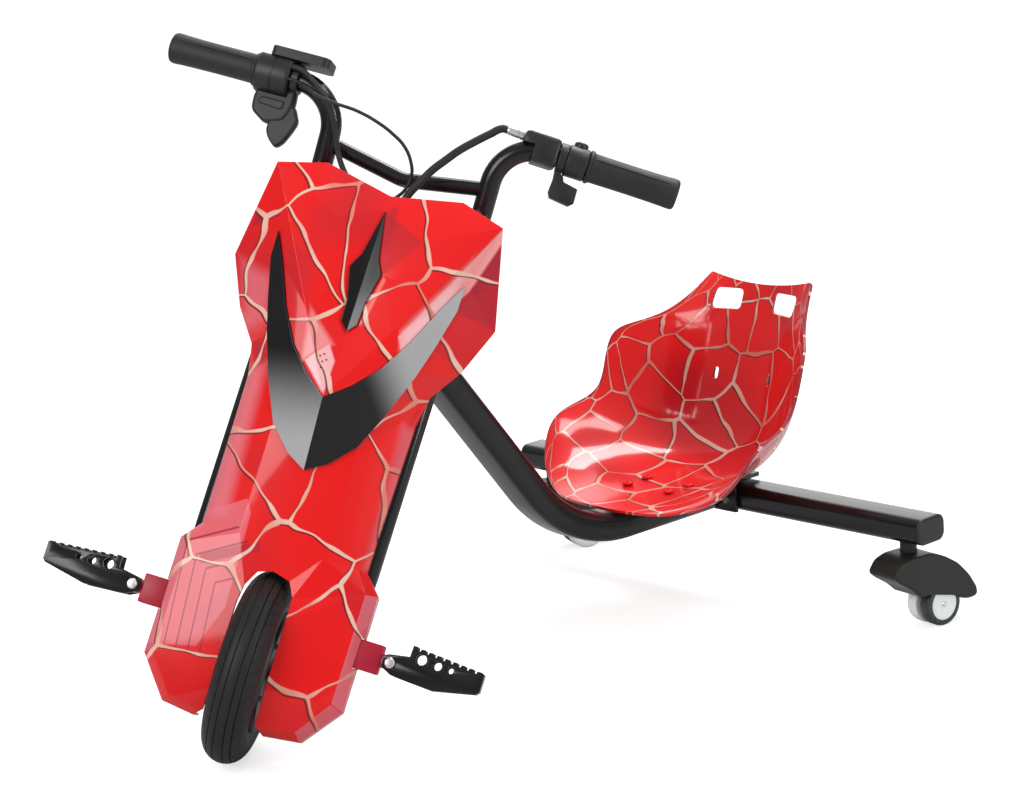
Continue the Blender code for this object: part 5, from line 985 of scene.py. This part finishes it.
# Brake: a moulded housing with the brake switch, a short finger lever on its own ring, the horn's housing
# with its button, and the zinc ferrule that the brake cable comes out of.
for name, body, width in (("brake_housing", "fork", 0.0014), ("brake_lever", "brake_lever", 0.0011),
                          ("horn_housing", "fork", 0.0006), ("horn_button", "horn_button", 0.0006)):
    wear(dressed(name + "_moulded", name, width, 3, 35), black_nylon, body, name)
onto_riser = Matrix.Translation((0.0202, 0, 0.011)) @ Matrix.Rotation(-math.pi / 2, 4, "Y")
ferrule = turn("cable_ferrule_turned",
               [(4.4, 0), (5, 0), (5.5, 0.4), (5.5, 3.6), (5, 4.2), (5, 5.6), (5.3, 6), (5, 11), (4.6, 16),
                (4.3, 17.7), (4, 18), (3, 18)],
               along_bar(1) @ onto_riser, 40)
wear(ferrule, zinc, "fork", "cable_ferrule")


# Cables: three sheathed cables from the controls down behind the cover, held at both ends.
upright_top = 0.4925
cables = {
    "brake_cable": (4.2, ((89.8, 25.8, 115.5), (85, 26.4, 115.1), (74, 29, 105), (62, 32, 92.5),
                          (49, 36, 77.5), (39, 38, 63.5), (29, 38, 49.5), (21, 37, 34.5), (14, 36.5, 20.5),
                          (10, 36, 7.5), (9.5, 36, -2.5), (9.5, 36, -11.9))),
    "throttle_cable": (1.8, ((-143.1, 37.4, 99.6), (-135.2, 38.5, 99.4), (-123, 45, 94.8), (-107, 51, 88.5),
                             (-87, 53, 85.5), (-63, 52, 84.5), (-38, 49, 79.5), (-21, 45, 73.5),
                             (-5, 40, 64.5), (6, 34, 50.5), (9, 29, 40.5), (7, 26.5, 24.5), (-3, 27.5, 7.5),
                             (-6, 29, -4.5), (-6, 29, -11.9))),
    "display_cable": (3, ((-142.9, 36.9, 112.9), (-135, 38, 112.7), (-118, 42.5, 104.2), (-98, 44.5, 88.5),
                          (-86, 40, 72.5), (-78, 32, 55.5), (-68, 27, 35.5), (-50, 28, 15.5),
                          (-32, 31, 4.5), (-28, 32, -3.5), (-28, 32, -11.9))),
}
for name, (radius, route) in cables.items():
    curve = bpy.data.curves.new(name + "_sheathed", "CURVE")
    curve.dimensions = "3D"
    curve.resolution_u = 10
    curve.bevel_depth = radius * mm
    curve.bevel_resolution = 6
    curve.use_fill_caps = True
    spline = curve.splines.new("BEZIER")
    spline.bezier_points.add(len(route) - 1)
    for knot, (out, forwards, height) in zip(spline.bezier_points, route):
        knot.co = (out * mm, -forwards * mm, upright_top + height * mm)
        knot.handle_left_type = "AUTO"
        knot.handle_right_type = "AUTO"
    cable = bpy.data.objects.new(name + "_sheathed", curve)
    scene.collection.objects.link(cable)
    only(cable)
    bpy.ops.object.convert(target="MESH")
    cable = bpy.context.object
    cable.data.transform(fork_frame)
    smooth(50)
    wear(cable, rubber, "fork", name)


# Floor, light and camera: a plain white studio, and the camera where the photograph was taken from.
bpy.ops.object.select_all(action="DESELECT")
bpy.ops.mesh.primitive_plane_add(size=30, location=(0, 0, 0))
floor = bpy.context.object
floor.name = "studio_floor"
floor_finish = Finish("studio_floor")
ray = floor_finish.node("LightPath", out="Is Camera Ray")
grain = floor_finish.noise(floor_finish.here(), 3.0)
floor.data.materials.append(floor_finish.done(
    base_color=floor_finish.mix(grain, (0.6, 0.6, 0.6), (0.62, 0.62, 0.62)), roughness=0.6,
    specular_ior_level=0.0, emission_color=floor_finish.mix(ray, (0, 0, 0), (0.66, 0.66, 0.66)),
    emission_strength=1.0))

# The sky is brighter overhead, and brightest behind the trike, where the gloss of the covers picks it up.
sky = Finish("studio", bpy.data.worlds, "Background")
way = sky.here("Generated")
lift = sky.node("MapRange", {}, {"Value": sky.node("SeparateXYZ", {}, {0: way}, "Z"), "From Max": 0.9,
                                 "To Min": 0.2, "To Max": 0.62})
behind = sky.vector("DOT_PRODUCT", way, (-0.7, 0.67, 0.24), "Value")
glow = 1.5 * sky.ramp(behind, 0.72, 0.98)
seen = sky.node("LightPath", out="Is Camera Ray")
strength = sky.node("Mix", {}, {"Factor": seen, "A": lift + glow, "B": 1.08})
scene.world = sky.done(color=(1, 1, 1), strength=strength)


def softbox(name, place, aim, width, height, power):
    bpy.ops.object.light_add(type="AREA", location=place)
    lamp = bpy.context.object
    lamp.name = name
    lamp.data.shape = "RECTANGLE"
    lamp.data.size = width
    lamp.data.size_y = height
    lamp.data.energy = power
    lamp.rotation_euler = (Vector(aim) - Vector(place)).to_track_quat("-Z", "Y").to_euler()


softbox("overhead", (-0.35, 1.3, 2.3), (0, 0.2, 0.2), 1.0, 0.8, 34)
softbox("wing_light", (1.00, 0.85, 2.2), (0, 0.2, 0.2), 0.5, 0.5, 9)
softbox("front_light", (0.6, -3.4, 2.2), (0, -0.2, 0.3), 1.8, 1.8, 78)
softbox("strip_light", (3.4, 0.9, 1.0), (0, 0, 0.5), 0.22, 1.8, 34)

bpy.ops.object.camera_add(location=(2.2909, -1.98679, 1.0136))
camera = bpy.context.object
azimuth, elevation, roll = math.radians(48.295), math.radians(13.113), math.radians(-4.355)
turned = (Matrix.Rotation(azimuth, 3, "Z") @ Matrix.Rotation(math.pi / 2 - elevation, 3, "X") @
          Matrix.Rotation(roll, 3, "Z"))
camera.rotation_euler = turned.to_euler()
focal_pixels, picture_width = 2875.1, 1024
camera.data.sensor_width = 36
camera.data.lens = focal_pixels * camera.data.sensor_width / picture_width
scene.camera = camera
scene.view_settings.view_transform = "Standard"
